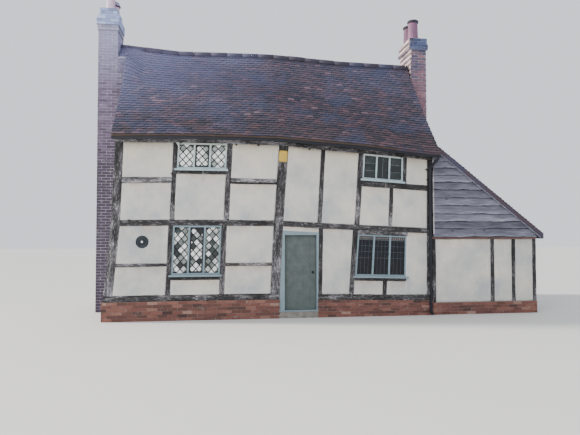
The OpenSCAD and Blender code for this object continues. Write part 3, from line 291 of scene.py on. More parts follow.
PLINTH_X0 = float(settle(0, SILL_Z)[0]) - PLINTH_OUT
PLINTH_X1 = float(settle(HOUSE_L, SILL_Z)[0]) + PLINTH_OUT
DOOR_X0, DOOR_X1 = (float(settle(x, SILL_Z)[0]) for x in DOOR_GAP)
plinth_l, plinth_w = PLINTH_X1 - PLINTH_X0, HOUSE_W + 2 * PLINTH_OUT
red_brick = brick_finish(
    "old_red_brick", (0.0, "3f2c2a"), (0.3, "5c3c36"), (0.55, "724740"), (0.8, "855a4e"), (1.0, "987b6e"))
lime_mortar = mortar_finish("lime_mortar", "8d857b", "57504a")
put("plinth_bricks", [
    lay_bricks(wall_face(x, y, turn, sunk=True), length, 0, SILL_Z, seed) for seed, x, y, turn, length in (
        (1, PLINTH_X0, -PLINTH_OUT, (1, 0), DOOR_X0 - PLINTH_X0),
        (2, DOOR_X1, -PLINTH_OUT, (1, 0), PLINTH_X1 - DOOR_X1),
        (3, PLINTH_X1, HOUSE_W + PLINTH_OUT, (-1, 0), plinth_l),
        (4, PLINTH_X0, HOUSE_W + PLINTH_OUT, (0, -1), plinth_w),
        (5, PLINTH_X1, -PLINTH_OUT, (0, 1), plinth_w))], red_brick)
dress(["plinth"], lime_mortar)

# OAK FRAME
# Hewn oak timbers, tarred long ago and worn to silver where the weather reaches them. Posts, studs,
# beams and rails are pegged together, stand a little proud of the plaster, and no edge is straight.
POST_W = [0.19, 0.1, 0.12, 0.22, 0.1, 0.125, 0.13]
FOOT_SHIFT = [0, -0.02, -0.04, 0, 0.045, -0.03, 0]
SILL_TOP, BEAM_TOP = 0.59, 2.325
STUD_W = 0.095


def front(a, d, z):
    """The point of the settled front wall that is a from its left end, d behind its face and was at
    the height z when it was true."""
    x, h = settle(a, z)
    return xyz(x, d, h)


def back(a, d, z):
    """The same on the back wall, with a from its left end as seen from outside."""
    x, h = settle(HOUSE_L - a, z)
    return xyz(x, HOUSE_W - d, h)


def wander(rng, length, size):
    """Smooth wandering along a timber: three sine waves about 1.9, 0.8 and 0.3 m long with random
    phases, added up and scaled to size. length is [n, stations] in metres."""
    total, shape = 0, (len(length), 1)
    for wave, share in ((1.9, 0.5), (0.8, 0.32), (0.3, 0.18)):
        total = total + share * np.sin(length * 2 * np.pi / (wave * rng.uniform(0.8, 1.2, shape))
                                       + rng.uniform(0, 2 * np.pi, shape))
    return total * size


def both(values):
    """The same value for a point of the skin and the one behind it."""
    flat = values.reshape(len(values), -1, *values.shape[3:])
    return np.concatenate([flat, flat], 1).reshape(-1, *values.shape[3:])


def timbers(place, sticks, upright, seed, depth=0.13, stations=41):
    """Timbers of one wall. A stick is (left, right, foot, top, weather). u goes across it over five
    points, 8 mm inside each edge for the chamfer, and v along it; both edges wander by up to 5 mm,
    and the face stands 2 to 7 mm proud and falls back by 7 mm at its two arrises. An upright one is
    more weathered at its foot than at its sheltered head."""
    rng = np.random.default_rng(seed)
    a0, a1, z0, z1, weather = np.array(sticks, float).T[:, :, None]
    v = np.linspace(0, 1, stations)[None]
    size, width = (z1 - z0, a1 - a0) if upright else (a1 - a0, z1 - z0)
    length = v * size
    left, right = wander(rng, length, 0.005), wander(rng, length, 0.005)
    u, chamfer = np.array([0, 0, 0.5, 1, 1])[:, None], np.array([0, 0.008, 0, -0.008, 0])[:, None]
    across = left[:, None] + (width + right - left)[:, None] * u + chamfer
    arris = np.array([0.007, 0, -0.001, 0, 0.007])[:, None]
    face = -0.0045 + 0.5 * wander(rng, length, 0.005)[:, None] + arris
    along = np.broadcast_to(length[:, None], across.shape)
    shift = rng.uniform(0, 9, (2, len(a0), 1, 1))
    grain = np.stack([across + shift[0], along + shift[1]], -1)
    tone = weather[:, None] + 0.12 * wander(rng, length * 1.7, 1.0)[:, None] + 0 * across
    if upright:
        a, z, tone = a0[:, None] + across, z0[:, None] + along, tone + 0.26 * (0.42 - v)
    else:
        across, along, face, tone, grain = (grid.swapaxes(1, 2) for grid in (across, along, face, tone, grain))
        a, z = a0[:, None] + along, z0[:, None] + across
    return *slabs(place(a, face, z), place(a, depth + 0 * face, z)), both(tone), both(grain)


def mirrored(sticks, total=HOUSE_L):
    """The same sticks, counted from the other end of a wall."""
    return [(total - s[1], total - s[0], *s[2:]) for s in sticks]


def both_walls(sticks, upright, seed, on_back=None, **more):
    """Timbers on the front wall, and on_back, or else the same ones mirrored, on the back wall."""
    return [timbers(front, sticks, upright, seed, **more),
            timbers(back, on_back or mirrored(sticks), upright, seed + 1, **more)]


def post(i, foot, top, weather, shift=0.0):
    """The post or stud on line i."""
    return POST_X[i] + shift - POST_W[i] / 2, POST_X[i] + shift + POST_W[i] / 2, foot, top, weather


def bay(i, low=False):
    """Edges of the clear space between posts i and i + 1, at the ground floor if low."""
    shift = FOOT_SHIFT if low else [0] * 7
    return POST_X[i] + shift[i] + POST_W[i] / 2, POST_X[i + 1] + shift[i + 1] - POST_W[i + 1] / 2


def oak_finish(name, fibres=(70, 3.5, 1), patches=(9, 1.6, 1), flecks=(62, 11, 1), source="grain", worn=0.0):
    """Oak: a dark tarred ground, silver fibres and flecks along the grain where it is weathered, and
    fine shakes."""
    wood = Finish(name, source, Roughness=0.8)
    fibre = wood.cloud(fibres, 5, 0.65)
    share = wood.varied(wood.sums("ADD", wood.tone(), worn), wood.cloud(patches, 4, 0.6), 1.3)
    share = wood.varied(share, fibre, 0.8)
    wood.ramp(share, (0.14, "141315"), (0.4, "2a2729"), (0.6, "524f52"), (0.8, "858387"), (1.0, "b5b5b9"))
    fleck = wood.spread(wood.cloud(flecks, 4, 0.65), 0.54, 0.6)
    bare = wood.sums("MULTIPLY", wood.sums("MULTIPLY", share, share), 1.5)
    wood.coat("cdced3", wood.sums("MULTIPLY", fleck, bare))
    wood.coat("121012", wood.spread(fibre, 0.3, 0.42, 1.0, 0.0))
    return wood.done(fibre, 0.004)


low5, up5 = bay(5, True), bay(5)
WINDOW_END = low5[0] + 1.245
STUD_LOW, STUD_UP, STUD_MID = up5[0] + 0.655, up5[0] + 1.0754, up5[0] + 1.0754 - 0.345
posts = [post(i, SILL_TOP, PLATE_Z, weather) for i, weather in ((0, 0.5), (3, 0.46), (6, 0.3))]
studs = [post(i, z0, z1, weather, low * FOOT_SHIFT[i])
         for z0, z1, low in ((SILL_TOP, BEAM_Z, 1), (BEAM_TOP, PLATE_Z, 0))
         for i, weather in ((1, 0.36), (2, 0.46), (4, 0.36), (5, 0.42))]
studs += [(STUD_LOW, STUD_LOW + STUD_W, SILL_TOP, 0.93, 0.35), (STUD_UP, STUD_UP + STUD_W, 3.445, PLATE_Z, 0.3),
          (STUD_MID, STUD_MID + STUD_W, BEAM_TOP, 3.305, 0.42)]
# In bay 2 the upper rail is split: its lower 41 mm is a nearly black stick, painted shade under the rail.
rails = [(*bay(0), 3.185, 3.315, 0.55), (*bay(2), 3.185, 3.226, 0.02), (*bay(2), 3.222, 3.315, 0.6),
         (*bay(0, True), 1.25, 1.32, 0.45), (*bay(2, True), 1.25, 1.32, 0.45), (*bay(1), 3.4, 3.475, 0.3),
         (*up5, 3.305, 3.445, 0.3), (*bay(1, True), 0.93, 1.005, 0.3), (low5[0], WINDOW_END, 0.93, 1.005, 0.3)]
oak = oak_finish("weathered_oak")
put("oak_posts", both_walls(posts, True, 11), oak, replaces=["corner_posts", "main_posts"])
put("oak_studs", both_walls(studs, True, 13), oak, replaces=["lower_studs", "upper_studs"])
put("oak_rails", both_walls(rails, False, 15, stations=31), oak, replaces=["rails"])

# GABLE TIMBERS AND LONG BEAMS
# The plates, girding beams and sills go round the house, and two studs stand in each storey of a
# gable. The uppermost studs are cut to the slope of the roof.
ROOF_END, RIDGE_Z, EAVE_OUT = 7.83, 7.065, 0.215
RUN = HOUSE_W / 2 + EAVE_OUT
ROOF_X = np.array([0.02, *POST_X[1:], ROOF_END])
EAVE_LINE = PLATE_Z - drop(ROOF_X, PLATE_Z) + np.interp(ROOF_X, POST_X, [0.15, 0.17, 0.175, 0.18, 0.2, 0.205, 0.15])
RIDGE_LINE = RIDGE_Z - np.interp(ROOF_X, POST_X, [0, 0.101, 0.077, 0.059, 0.115, 0.17, 0.2])
GABLE_ENDS = (0.13, 4.07)
GABLE_Y, HALF_STUD = [HOUSE_W * 0.31, HOUSE_W * 0.69], 0.055
PLATE_TOP = 4.25


def left_gable(a, d, z):
    """The point of the settled left gable that is a from its left end as seen from outside, d behind
    its face and was at the height z when it was true."""
    x, h = settle(0 * a, z)
    return xyz(x + d, HOUSE_W - a, h)


def right_gable(a, d, z):
    """The same on the right gable."""
    x, h = settle(0 * a + HOUSE_L, z)
    return xyz(x - d, a, h)


def roof_z(x, s):
    """Height of the roof: straight from the eaves at s = 0 to the ridge at 1, less a sag of 80 mm at
    half way that follows 4 s (1 - s)."""
    low, high = np.interp(x, ROOF_X, EAVE_LINE), np.interp(x, ROOF_X, RIDGE_LINE)
    return low + (high - low) * s - 0.32 * s * (1 - s)


def under_roof(x, y):
    """True height of the underside of the roof over the gable wall, where the frame has sunk."""
    run = np.minimum(y, HOUSE_W - y)
    return roof_z(x, (run + EAVE_OUT) / RUN) - 0.15 + np.interp(x, POST_X, FALL) * 0.4


def gable_timbers(place, x, seed):
    """Ties and studs of the gable at x; the highest studs end 10 mm under the roof."""
    ties = [(*GABLE_ENDS, SILL_Z, SILL_TOP, 0.4), (*GABLE_ENDS, BEAM_Z, BEAM_TOP, 0.35),
            (*GABLE_ENDS, PLATE_Z, PLATE_TOP, 0.3)]
    heads = [float(under_roof(x, y + side * HALF_STUD)) - 0.01 for y, side in zip(GABLE_Y, (-1, 1))]
    up = [(y - HALF_STUD, y + HALF_STUD, z0, z1, 0.3) for y, head in zip(GABLE_Y, heads)
          for z0, z1 in ((SILL_TOP, BEAM_Z), (BEAM_TOP, PLATE_Z), (PLATE_TOP, head))]
    return [timbers(place, ties, False, seed), timbers(place, up, True, seed + 1)]


beams = [(bay(0)[0], bay(2)[1], BEAM_Z, BEAM_TOP, 0.36), (bay(3)[0], up5[1], BEAM_Z, BEAM_TOP, 0.38)]
plate = [(0, 3.92, PLATE_Z, PLATE_TOP, 0.6), (3.92, HOUSE_L, PLATE_Z, PLATE_TOP, 0.46)]
front_sill = [(0, DOOR_GAP[0], SILL_Z, SILL_TOP, 0.4), (DOOR_GAP[1], HOUSE_L, SILL_Z, SILL_TOP, 0.4)]
back_sill = [(0, HOUSE_L, SILL_Z, SILL_TOP, 0.4)]
put("oak_beams", both_walls(beams, False, 17, stations=81) + both_walls(plate, False, 19, plate, stations=121)
    + both_walls(front_sill, False, 21, back_sill, stations=81), oak,
    replaces=["girding_beams", "wall_plates", "sill_beams"])
put("left_gable_timbers", gable_timbers(left_gable, 0.0, 23), oak, replaces=["left_gable_frame"])
put("right_gable_timbers", gable_timbers(right_gable, HOUSE_L, 25), oak,
    replaces=["right_gable_frame"])

# PLASTER PANELS
# Lime plaster on wattle fills every space of the frame. Each panel bellies out between its timbers
# by up to 7 mm, carries many coats of limewash and is stained where rain runs off the rails.


def panels(place, spaces, seed, top=None, steps=25):
    """Panels of one wall. A space is (left, right, foot, head). The face lies 12 mm back at its edges
    and bellies out by up to 7 mm times 6 u (1 - u) and 6 v (1 - v), neither over 1, and a mix of slow
    waves. top(a) gives the head of a panel whose head follows the roof."""
    rng = np.random.default_rng(seed)
    a0, a1, z0, z1 = np.array(spaces, float).T[:, :, None, None]
    u, v = np.meshgrid(np.linspace(0, 1, steps), np.linspace(0, 1, steps), indexing="ij")
    a = a0 - 0.006 + (a1 - a0 + 0.012) * u
    head = z1 if top is None else top(a)
    z = z0 - 0.006 + (head - z0 + 0.012) * v
    phase = rng.uniform(0, 2 * np.pi, (4, len(spaces), 1, 1))
    waves = (0.55 + 0.2 * np.sin(a * 5 + z * 3 + phase[0]) + 0.15 * np.sin(z * 7 - a * 2 + phase[1])
             + 0.1 * np.sin(a * 13 + phase[2]) * np.sin(z * 11 + phase[3]))
    belly = 0.007 * np.clip(waves, 0, 1) * np.clip(6 * u * (1 - u), 0, 1) * np.clip(6 * v * (1 - v), 0, 1)
    rim = np.exp(-np.minimum(u, 1 - u) * (a1 - a0) / 0.014) + np.exp(-v * (head - z0) / 0.014)
    # A tan painted shade under each head, carried in the grain.
    shade = np.stack([np.exp(-(head - z) / 0.11) + 0 * a, 0 * z], -1)
    return *slabs(place(a, 0.012 - belly, z), place(a, 0.1 + 0 * belly, z)), both(np.clip(rim, 0, 1)), both(shade)


def plaster_finish():
    """Limewashed plaster, pale cream with cooler patches: a fresh white line along the timbers, a tan painted shade
    under the heads, runs of dirt, a warmer tint under the eaves, and trowel marks."""
    lime = Finish("limewashed_plaster", Roughness=0.92)
    lime.ramp(lime.cloud(1.7, 5, 0.6), (0.32, "adb0b2"), (0.5, "c5c4bf"), (0.68, "d8d2c5"))
    lime.coat("a8a6a2", lime.spread(lime.cloud((14, 14, 1.3), 4, 0.6), 0.5, 0.75), 0.22)
    lime.coat("d9cdb2", lime.spread(lime.axis("Z"), 3.2, 4.2, 0.0, 0.4))
    uneven = lime.spread(lime.cloud(5, 3, 0.6), 0.3, 0.7)
    # Tan painted shade under the panel heads, broken up by noise.
    lime.coat("b39c80", lime.sums("MULTIPLY", lime.axis("X", "grain"), uneven), 0.75)
    lime.coat("ecebe8", lime.tone(), 0.6)
    return lime.done(lime.sums("ADD", lime.cloud(22, 6, 0.6), lime.cloud(5, 2, 0.5)), 0.012)


low_spaces = [(*bay(i, True), z0, z1) for i in (0, 2) for z0, z1 in ((SILL_TOP, 1.25), (1.32, BEAM_Z))]
low_spaces += [(*bay(1, True), SILL_TOP, 0.93), (*bay(4, True), SILL_TOP, BEAM_Z),
               (low5[0], STUD_LOW, SILL_TOP, 0.93), (STUD_LOW + STUD_W, WINDOW_END, SILL_TOP, 0.93),
               (WINDOW_END, low5[1], SILL_TOP, BEAM_Z)]
up_spaces = [(*bay(i), z0, z1) for i in (0, 2) for z0, z1 in ((BEAM_TOP, 3.185), (3.315, PLATE_Z))]
up_spaces += [(*bay(1), BEAM_TOP, 3.4), (*bay(3), BEAM_TOP, PLATE_Z), (*bay(4), BEAM_TOP, PLATE_Z),
              (up5[0], STUD_MID, BEAM_TOP, 3.305), (STUD_MID + STUD_W, up5[1], BEAM_TOP, 3.305),
              (STUD_UP + STUD_W, up5[1], 3.445, PLATE_Z)]
over_door, back_of_door = (*bay(3, True), 2.095, BEAM_Z), (*bay(3, True), SILL_TOP, BEAM_Z)
plaster = plaster_finish()
put("front_lower_plaster", [panels(front, low_spaces + [over_door], 31)], plaster,
    replaces=["front_lower_panels"], smooth=True)
put("front_upper_plaster", [panels(front, up_spaces, 32)], plaster,
    replaces=["front_upper_panels"], smooth=True)
put("back_plaster", [panels(back, mirrored(low_spaces + [back_of_door] + up_spaces), 33)], plaster,
    replaces=["back_panels"], smooth=True)
edges = [GABLE_ENDS[0], *(y + side * HALF_STUD for y in GABLE_Y for side in (-1, 1)), GABLE_ENDS[1]]
gable_spaces = [(*edges[k:k + 2], z0, z1) for k in (0, 2, 4)
                for z0, z1 in ((SILL_TOP, BEAM_Z), (BEAM_TOP, PLATE_Z))]
roof_spaces = [(*edges[k:k + 2], PLATE_TOP, 5) for k in (0, 2, 4)]
for side, place, x in (("left", left_gable, 0.0), ("right", right_gable, HOUSE_L)):
    put(side + "_gable_plaster", [panels(place, gable_spaces, 34),
                                  panels(place, roof_spaces, 35, top=lambda a: under_roof(x + 0 * a, a) - 0.012)],
        plaster, replaces=[side + "_gable_panels"], smooth=True)

# WINDOWS
# Painted wooden frames of three lights. The left windows hold diamond quarries of old glass in lead,
# the right ones panes between thin bars. No two panes lie in one plane.
WINDOWS = {"upper_left": (*bay(1), 3.52, PLATE_Z), "upper_right": (up5[0], up5[0] + 1.075, 3.49, PLATE_Z),
           "lower_left": (*bay(1, True), 1.05, BEAM_Z), "lower_right": (low5[0], WINDOW_END, 1.05, BEAM_Z)}
FRAME_W = 0.042


def lights(window):
    """The three openings of a window as (left, right, foot, head), 42 mm inside its frame."""
    x0, x1, z0, z1 = window
    pitch = (x1 - x0 - FRAME_W) / 3
    return [(x0 + FRAME_W + k * pitch, x0 + (k + 1) * pitch, z0 + FRAME_W, z1 - FRAME_W) for k in range(3)]


def glass_panes(place, corners, seed, low, high):
    """Panes 4 mm thick given by their foot, right, top and left corners [n, 4, 2]; each corner leans
    by up to 3 mm, and the tone of a pane lies between low and high."""
    rng = np.random.default_rng(seed)
    grid = corners[:, [[0, 3], [1, 2]]]
    lean = 0.047 + rng.uniform(-0.003, 0.003, grid.shape[:3])
    tone = low + (high - low) * rng.beta(1.5, 0.8, len(corners))
    skin, bed = (place(grid[..., 0], lean + more, grid[..., 1]) for more in (0, 0.004))
    return *slabs(skin, bed), np.repeat(tone, 8)


def strips(place, ends, width, depth, rise=0.004):
    """Flat bars from end to end: ends [n, 2, 2]; three points across, the middle one raised."""
    ends = np.asarray(ends, float)
    way = ends[:, 1] - ends[:, 0]
    way /= np.linalg.norm(way, axis=1)[:, None]
    side = np.stack([way[:, 1], -way[:, 0]], 1) * width / 2
    grid = ends[:, None] + side[:, None, None] * np.array([-1, 0, 1])[None, :, None, None]
    lift = depth - rise * np.array([0.35, 1, 0.35])[None, :, None] + 0 * grid[..., 0]
    return slabs(place(grid[..., 0], lift, grid[..., 1]), place(grid[..., 0], depth + 0.007 + 0 * lift, grid[..., 1]))


def diamonds(light):
    """Lattice of quarries about 160 x 175 mm: centres on every half step where the steps add up to an
    even number, each corner held inside the light, and cames on the slanting lines between them."""
    x0, x1, z0, z1 = light
    nx, nz = max(1, round((x1 - x0) / 0.16)), max(1, round((z1 - z0) / 0.178))
    i, j = np.meshgrid(np.arange(2 * nx + 1), np.arange(2 * nz + 1), indexing="ij")
    even = (i + j) % 2 == 0
    centre = np.stack([i[even], j[even]], 1) / 2
    corner = centre[:, None] + np.array([[0, -0.5], [0.5, 0], [0, 0.5], [-0.5, 0]])
    corner = np.clip(corner, 0, [nx, nz])
    for k in (3, 1, 0, 2):
        flat = np.abs(corner[:, k, 1 - k % 2] - centre[:, 1 - k % 2]) < 1e-6
        corner[flat, k] = (corner[flat, k - 1] + corner[flat, (k + 1) % 4]) / 2
    lines = []
    for k in range(-nx, nz):
        for slope, at in ((1, k + 0.5), (-1, k + 0.5 + nx)):
            t0, t1 = sorted((-at / slope, (nz - at) / slope))
            t0, t1 = max(t0, 0), min(t1, nx)
            if t1 - t0 > 0.05:
                lines.append([[t0, at + slope * t0], [t1, at + slope * t1]])
    scale = np.array([(x1 - x0) / nx, (z1 - z0) / nz])
    return corner * scale + [x0, z0], np.array(lines) * scale + [x0, z0]


def grid_panes(light, across, up):
    """Panes and bars of a light divided into across times up; the upright bars come first."""
    x0, x1, z0, z1 = light
    xs, zs = np.linspace(x0, x1, across + 1), np.linspace(z0, z1, up + 1)
    panes = [[[xs[i], zs[j]], [xs[i + 1], zs[j]], [xs[i + 1], zs[j + 1]], [xs[i], zs[j + 1]]]
             for i in range(across) for j in range(up)]
    bars = [[[x, z0], [x, z1]] for x in xs[1:-1]] + [[[x0, z], [x1, z]] for z in zs[1:-1]]
    return np.array(panes), bars


def ring(light, aside, above):
    """Ends of the four bars round a light, inset by aside and above."""
    x0, x1, z0, z1 = np.array(light) + [aside, -aside, above, -above]
    corners = [[x0, z0], [x1, z0], [x1, z1], [x0, z1]]
    return [[corners[i], corners[(i + 1) % 4]] for i in range(4)]


def level_bars(light, *falls):
    """Ends of bars across a light, each so far below its head."""
    return [[[light[0], light[3] - fall], [light[1], light[3] - fall]] for fall in falls]


def glass_finish(name, *stops, bend=1.5):
    """Old window glass, its tone painted light: dark as painted shade where the room shows through,
    nearly white as a painted reflection where it throws back the sky; faintly rippled."""
    pane = Finish(name, Roughness=0.06, IOR=bend)
    pane.ramp(pane.varied(pane.tone(), pane.cloud(9, 3, 0.5), 0.5), *stops)
    return pane.done(pane.cloud(14, 2, 0.4), 0.002)


def paint_finish(name, light, dark, worn, painted_low_shade=None):
    """Old oil paint, chalky, with brush marks and bare grey wood where it has flaked. If a colour is
    given for the low painted shade, it is laid on low down as painted shade, and the paint takes a creamy painted shade
    tint under the eaves."""
    paint = Finish(name, Roughness=0.6)
    paint.ramp(paint.cloud(6, 4, 0.6), (0.3, dark), (0.7, light))
    paint.coat(worn, paint.spread(paint.cloud(34, 6, 0.7), 0.6, 0.66), 0.75)
    if painted_low_shade:
        # Painted shade darkens the paint low down, and under the eaves it takes a creamy painted shade tint.
        paint.coat(painted_low_shade, paint.spread(paint.axis("Z"), 2.1, 3.75, 0.75, 0.0))
        paint.coat("c9cabb", paint.spread(paint.axis("Z"), 3.55, 4.05, 0.0, 0.6))
    return paint.done(paint.cloud((60, 60, 9), 3, 0.6), 0.002)


def metal_finish(name, light, dark, rough=0.5, metal=0.6):
    """Dark metal with a dull skin."""
    return two_tone(name, light, dark, rough, (24, 5, 0.65), (120, 3, 0.6), 0.001, metal=metal)


blue_paint = paint_finish("duck_egg_paint", "b4c7cb", "98adb3", "767c7a", "647783")
iron = metal_finish("painted_iron", "161b28", "07090f", 0.55, 0.2)
old_glass = glass_finish("old_glass", (0.1, "141a1c"), (0.35, "36403d"), (0.55, "98a09c"), (0.75, "eef1ee"))
shaded_glass = glass_finish("shaded_glass", (0.1, "0b0f16"), (0.5, "161b25"), (0.9, "282e37"), bend=1.36)
WINDOW_PARTS = {
    "panes": (old_glass, "glass"),
    "shaded_panes": (shaded_glass, "glass"),
    "lead_cames": (metal_finish("lead_came", "24272c", "101216"), "iron"),
    "lead_grids": (metal_finish("dull_lead_grid", "525863", "343943", 0.6, 0.2), "iron"),
    "thin_bars": (paint_finish("dull_bars", "7d8588", "5f686c", "4c5052"), "window_paint"),
    "window_heads": (oak, "oak_frame"),
    "glazing_bars": (blue_paint, "window_paint"),
    "casements": (iron, "iron"),
    "frills": (paint_finish("pale_net", "8a8280", "625c5c", "4d4848"), "window_paint"),
}
dress(["front_windows", "back_windows"], blue_paint)
for side, place in (("front", front), ("back", back)):
    kit = {kind: [] for kind in WINDOW_PARTS}
    for name, window in WINDOWS.items():
        if side == "back":
            window = mirrored([window])[0]
        for k, light in enumerate(lights(window)):
            seed = 40 + 7 * k + len(name)
            if "left" in name:
                corners, lines = diamonds(light)
                # Pane tones lay the painted reflection: upper left panes mostly pale as if throwing back the sky, lower
                # left ones darker as painted shade.
                tones = (0.24, 1.2) if "upper" in name else (-0.15, 0.95)
                kit["panes"].append(glass_panes(place, corners, seed, *tones))
                kit["lead_cames"].append(strips(place, lines, 0.02, 0.043, 0.006))
                if k == 1:
                    kit["casements"].append(strips(place, ring(light, 0.009, 0.015), 0.046, 0.03))
            elif "upper" in name:
                corners, lines = grid_panes(light, *((2, 1) if k == 1 else (1, 3)))
                kit["panes"].append(glass_panes(place, corners, seed, -0.15, 0.22))
                kit["thin_bars"].append(strips(place, lines, 0.01, 0.043, 0.008))
                kit["casements"].append(strips(place, ring(light, 0.006, 0.006), 0.018, 0.038))
            else:
                x0, x1, z0, z1 = light
                corners, lines = grid_panes((x0, x1, z0, z1 - 0.18), 4, 5)
                top_pane, _ = grid_panes((x0, x1, z1 - 0.186, z1 - 0.09), 1, 1)
                kit["shaded_panes"] += [glass_panes(place, corners, seed, 0.0, 0.3),
                                        glass_panes(place, top_pane, seed, 0.1, 0.3)]
                kit["lead_grids"] += [strips(place, lines[:3], 0.007, 0.045, 0.003),
                                      strips(place, level_bars(light, 0.345, 0.49, 0.645), 0.009, 0.045, 0.003)]
                kit["glazing_bars"].append(strips(place, level_bars(light, 0.083), 0.036, 0.018, 0.006))
                kit["thin_bars"].append(strips(place, level_bars(light, 0.186), 0.013, 0.041, 0.008))
                folds = x0 + 0.01 + np.linspace(0.06, 0.94, 7) * (x1 - x0 - 0.02)
                kit["frills"].append(strips(place, [[[x, z1 - 0.165], [x, z1 - 0.115]] for x in folds], 0.032, 0.046))
        if name == "lower_right":
            head = (window[0] - 0.004, window[1] + 0.012, window[3] - 0.1, window[3] + 0.002, 0.5)
            kit["window_heads"].append(timbers(place, [head], False, 33, 0.04))
    for kind, (finish, slot) in WINDOW_PARTS.items():
        put(f"{side}_{kind}", kit[kind], finish, replaces=[side + "_glass"] if kind == "panes" else ())

# FRONT DOOR
# A plank door hangs on two strap hinges behind the leaning frame, over a worn stone step. Inside lie
# stone flags and a boarded upper floor.


def plain_wood(name, light, dark):
    """Sawn wood, streaked along the house."""
    return two_tone(name, light, dark, 0.8, ((4, 40, 40), 4, 0.6), ((4, 40, 40), 4, 0.6), 0.002)


dress(["front_door"], paint_finish("door_paint", "56615f", "434d4c", "6d6a62"))
dress(["door_frame"], blue_paint)
dress(["door_pintles", "door_ironwork", "gutters", "downpipe", "wall_tie"], iron)
dress(["doorstep", "ground_floor", "leanto_floor"],
      two_tone("worn_stone", "8f8b84", "5f5b56", 0.85, (7, 7, 0.65), (60, 6, 0.7), 0.003))
dress(["upper_floor"], plain_wood("floor_boards", "6f573f", "4b3a2b"))

# ROOF TILES
# Hand made plain clay tiles, 165 mm wide with 97 mm showing, hung on battens in half bond. They are
# cambered, lie unevenly on the sagging rafters and have gone from red to purple brown and grey.
COURSES, TILE_W = 37, 0.165
GAUGE = 1 / COURSES
VERGE_X, SHOULDER_X = 0.02, -0.188


def tile_skin(surface, x0, x1, s0, seed, skip=None, flip=False, verge=None):
    """Tiles over a slope. surface(x, s, h) gives the point at x along the eaves, at share s of the
    slope and h above it. A tile lies 22 mm up at its tail and 4 mm at its head, 1.35 courses further;
    its two long edges are 4 mm lower than its middle, and it is 12 mm thick. skip(x, s) leaves tiles
    out, and verge(s) gives the left end of each course where that isn't straight."""
    rng = np.random.default_rng(seed)
    row, k = np.meshgrid(np.arange(COURSES), np.arange(int((x1 - x0) / TILE_W) + 2), indexing="ij")
    begin = x0 + (k - (row % 2) * 0.5) * TILE_W
    tail = s0 + row * GAUGE
    left = np.maximum(begin + 0.001, x0 if verge is None else verge(tail)).ravel()
    right, tail = np.minimum(begin + TILE_W - 0.001, x1).ravel(), tail.ravel()
    keep = right - left > 0.03
    if skip is not None:
        keep &= ~skip((left + right) / 2, tail)
    left, right, tail, row = left[keep], right[keep], tail[keep], row.ravel()[keep]
    n = len(left)
    slip = rng.normal(0, 0.0035, n) / 3.6
    x = left[:, None] + (right - left)[:, None] * np.array([0, 0.5, 1])
    x = np.stack([x, x], 2)
    s = np.stack([tail + slip, np.minimum(tail + 1.35 * GAUGE, 1.0)], 1)[:, None, :] + 0 * x
    rise = np.array([0.022, 0.004])[None, None] - 0.004 * np.array([1, 0, 1])[None, :, None]
    skew = rng.normal(0, 0.0022, (n, 1, 1)) * np.array([-1, 0, 1])[None, :, None]
    kick = np.abs(rng.normal(0, 0.0025, (n, 1, 1))) * np.array([1, 0])[None, None]
    h = np.maximum(rise + skew + kick, 0.003) + 0 * x
    skin, bed = surface(x, s, h), surface(x, s, h - 0.012)
    if flip:
        skin, bed = skin[:, ::-1], bed[:, ::-1]
    course_tone = rng.normal(0, 0.05, COURSES + 1)[row]
    tone = np.clip(rng.beta(1.6, 1.9, n) + course_tone, 0, 1)
    return *slabs(skin, bed), np.repeat(tone, 12)


def swept_z(x, s, foot):
    """Height of the slope with its left end swept up to the shoulder beside the stack. Above s = foot
    the shoulder is the plane 7.065 - 0.898 (2.1 - y); the difference from roof_z runs out over 0.24 of
    the slope below it and over 540 mm to the right of x = 0.02, both along 3 t^2 - 2 t^3."""
    at = np.clip(s, foot, 1.0)
    plane = RIDGE_Z - 0.898 * (RUN - RUN * at) - roof_z(np.minimum(x, 0.3), at)
    down = np.clip((s - foot + 0.24) / 0.24, 0, 1)
    side = np.clip((VERGE_X + 0.54 - x) / 0.54, 0, 1)
    gap = np.maximum(plane, 0) * down ** 2 * (3 - 2 * down)
    return roof_z(x, s) + gap * side ** 2 * (3 - 2 * side)


def slope_surface(x, s, h, foot=0.767):
    """The front slope: y from the tile edge to the ridge, z from swept_z, and h along the normal."""
    step = 1e-3
    rise = (swept_z(x, s + step, foot) - swept_z(x, s - step, foot)) / (2 * step) / RUN
    tilt = 1 / np.sqrt(1 + rise ** 2)
    return xyz(x, -EAVE_OUT + RUN * s - h * rise * tilt, swept_z(x, s, foot) + h * tilt)


def back_slope_surface(x, s, h):
    """The back slope: the front one over a smaller shoulder, mirrored in the ridge."""
    point = slope_surface(x, s, h, 0.918)
    point[..., 1] = HOUSE_W - point[..., 1]
    return point


def tile_finish(name, *stops, painted_haze=None):
    """Clay tiles: each has its own burn, with soot and pale lichen flecks over them, the flecks also serving as painted
    highlights on the tails, and painted haze where a code for it is given.
    """
    clay = Finish(name, Roughness=0.86)
    clay.ramp(clay.varied(clay.tone(), clay.cloud(24, 6, 0.65), 0.4), *stops)
    clay.coat("39425e", clay.spread(clay.cloud(1.1, 5, 0.65), 0.48, 0.6), 0.5)
    # Pale flecks of lichen, made strong enough to serve also as painted highlights on the tile tails.
    clay.coat("a09ca4", clay.spread(clay.cloud(55, 5, 0.7), 0.63, 0.7), 0.7)
    clay.painted_haze(painted_haze)
    return clay.done(clay.cloud(130, 5, 0.7), 0.003)


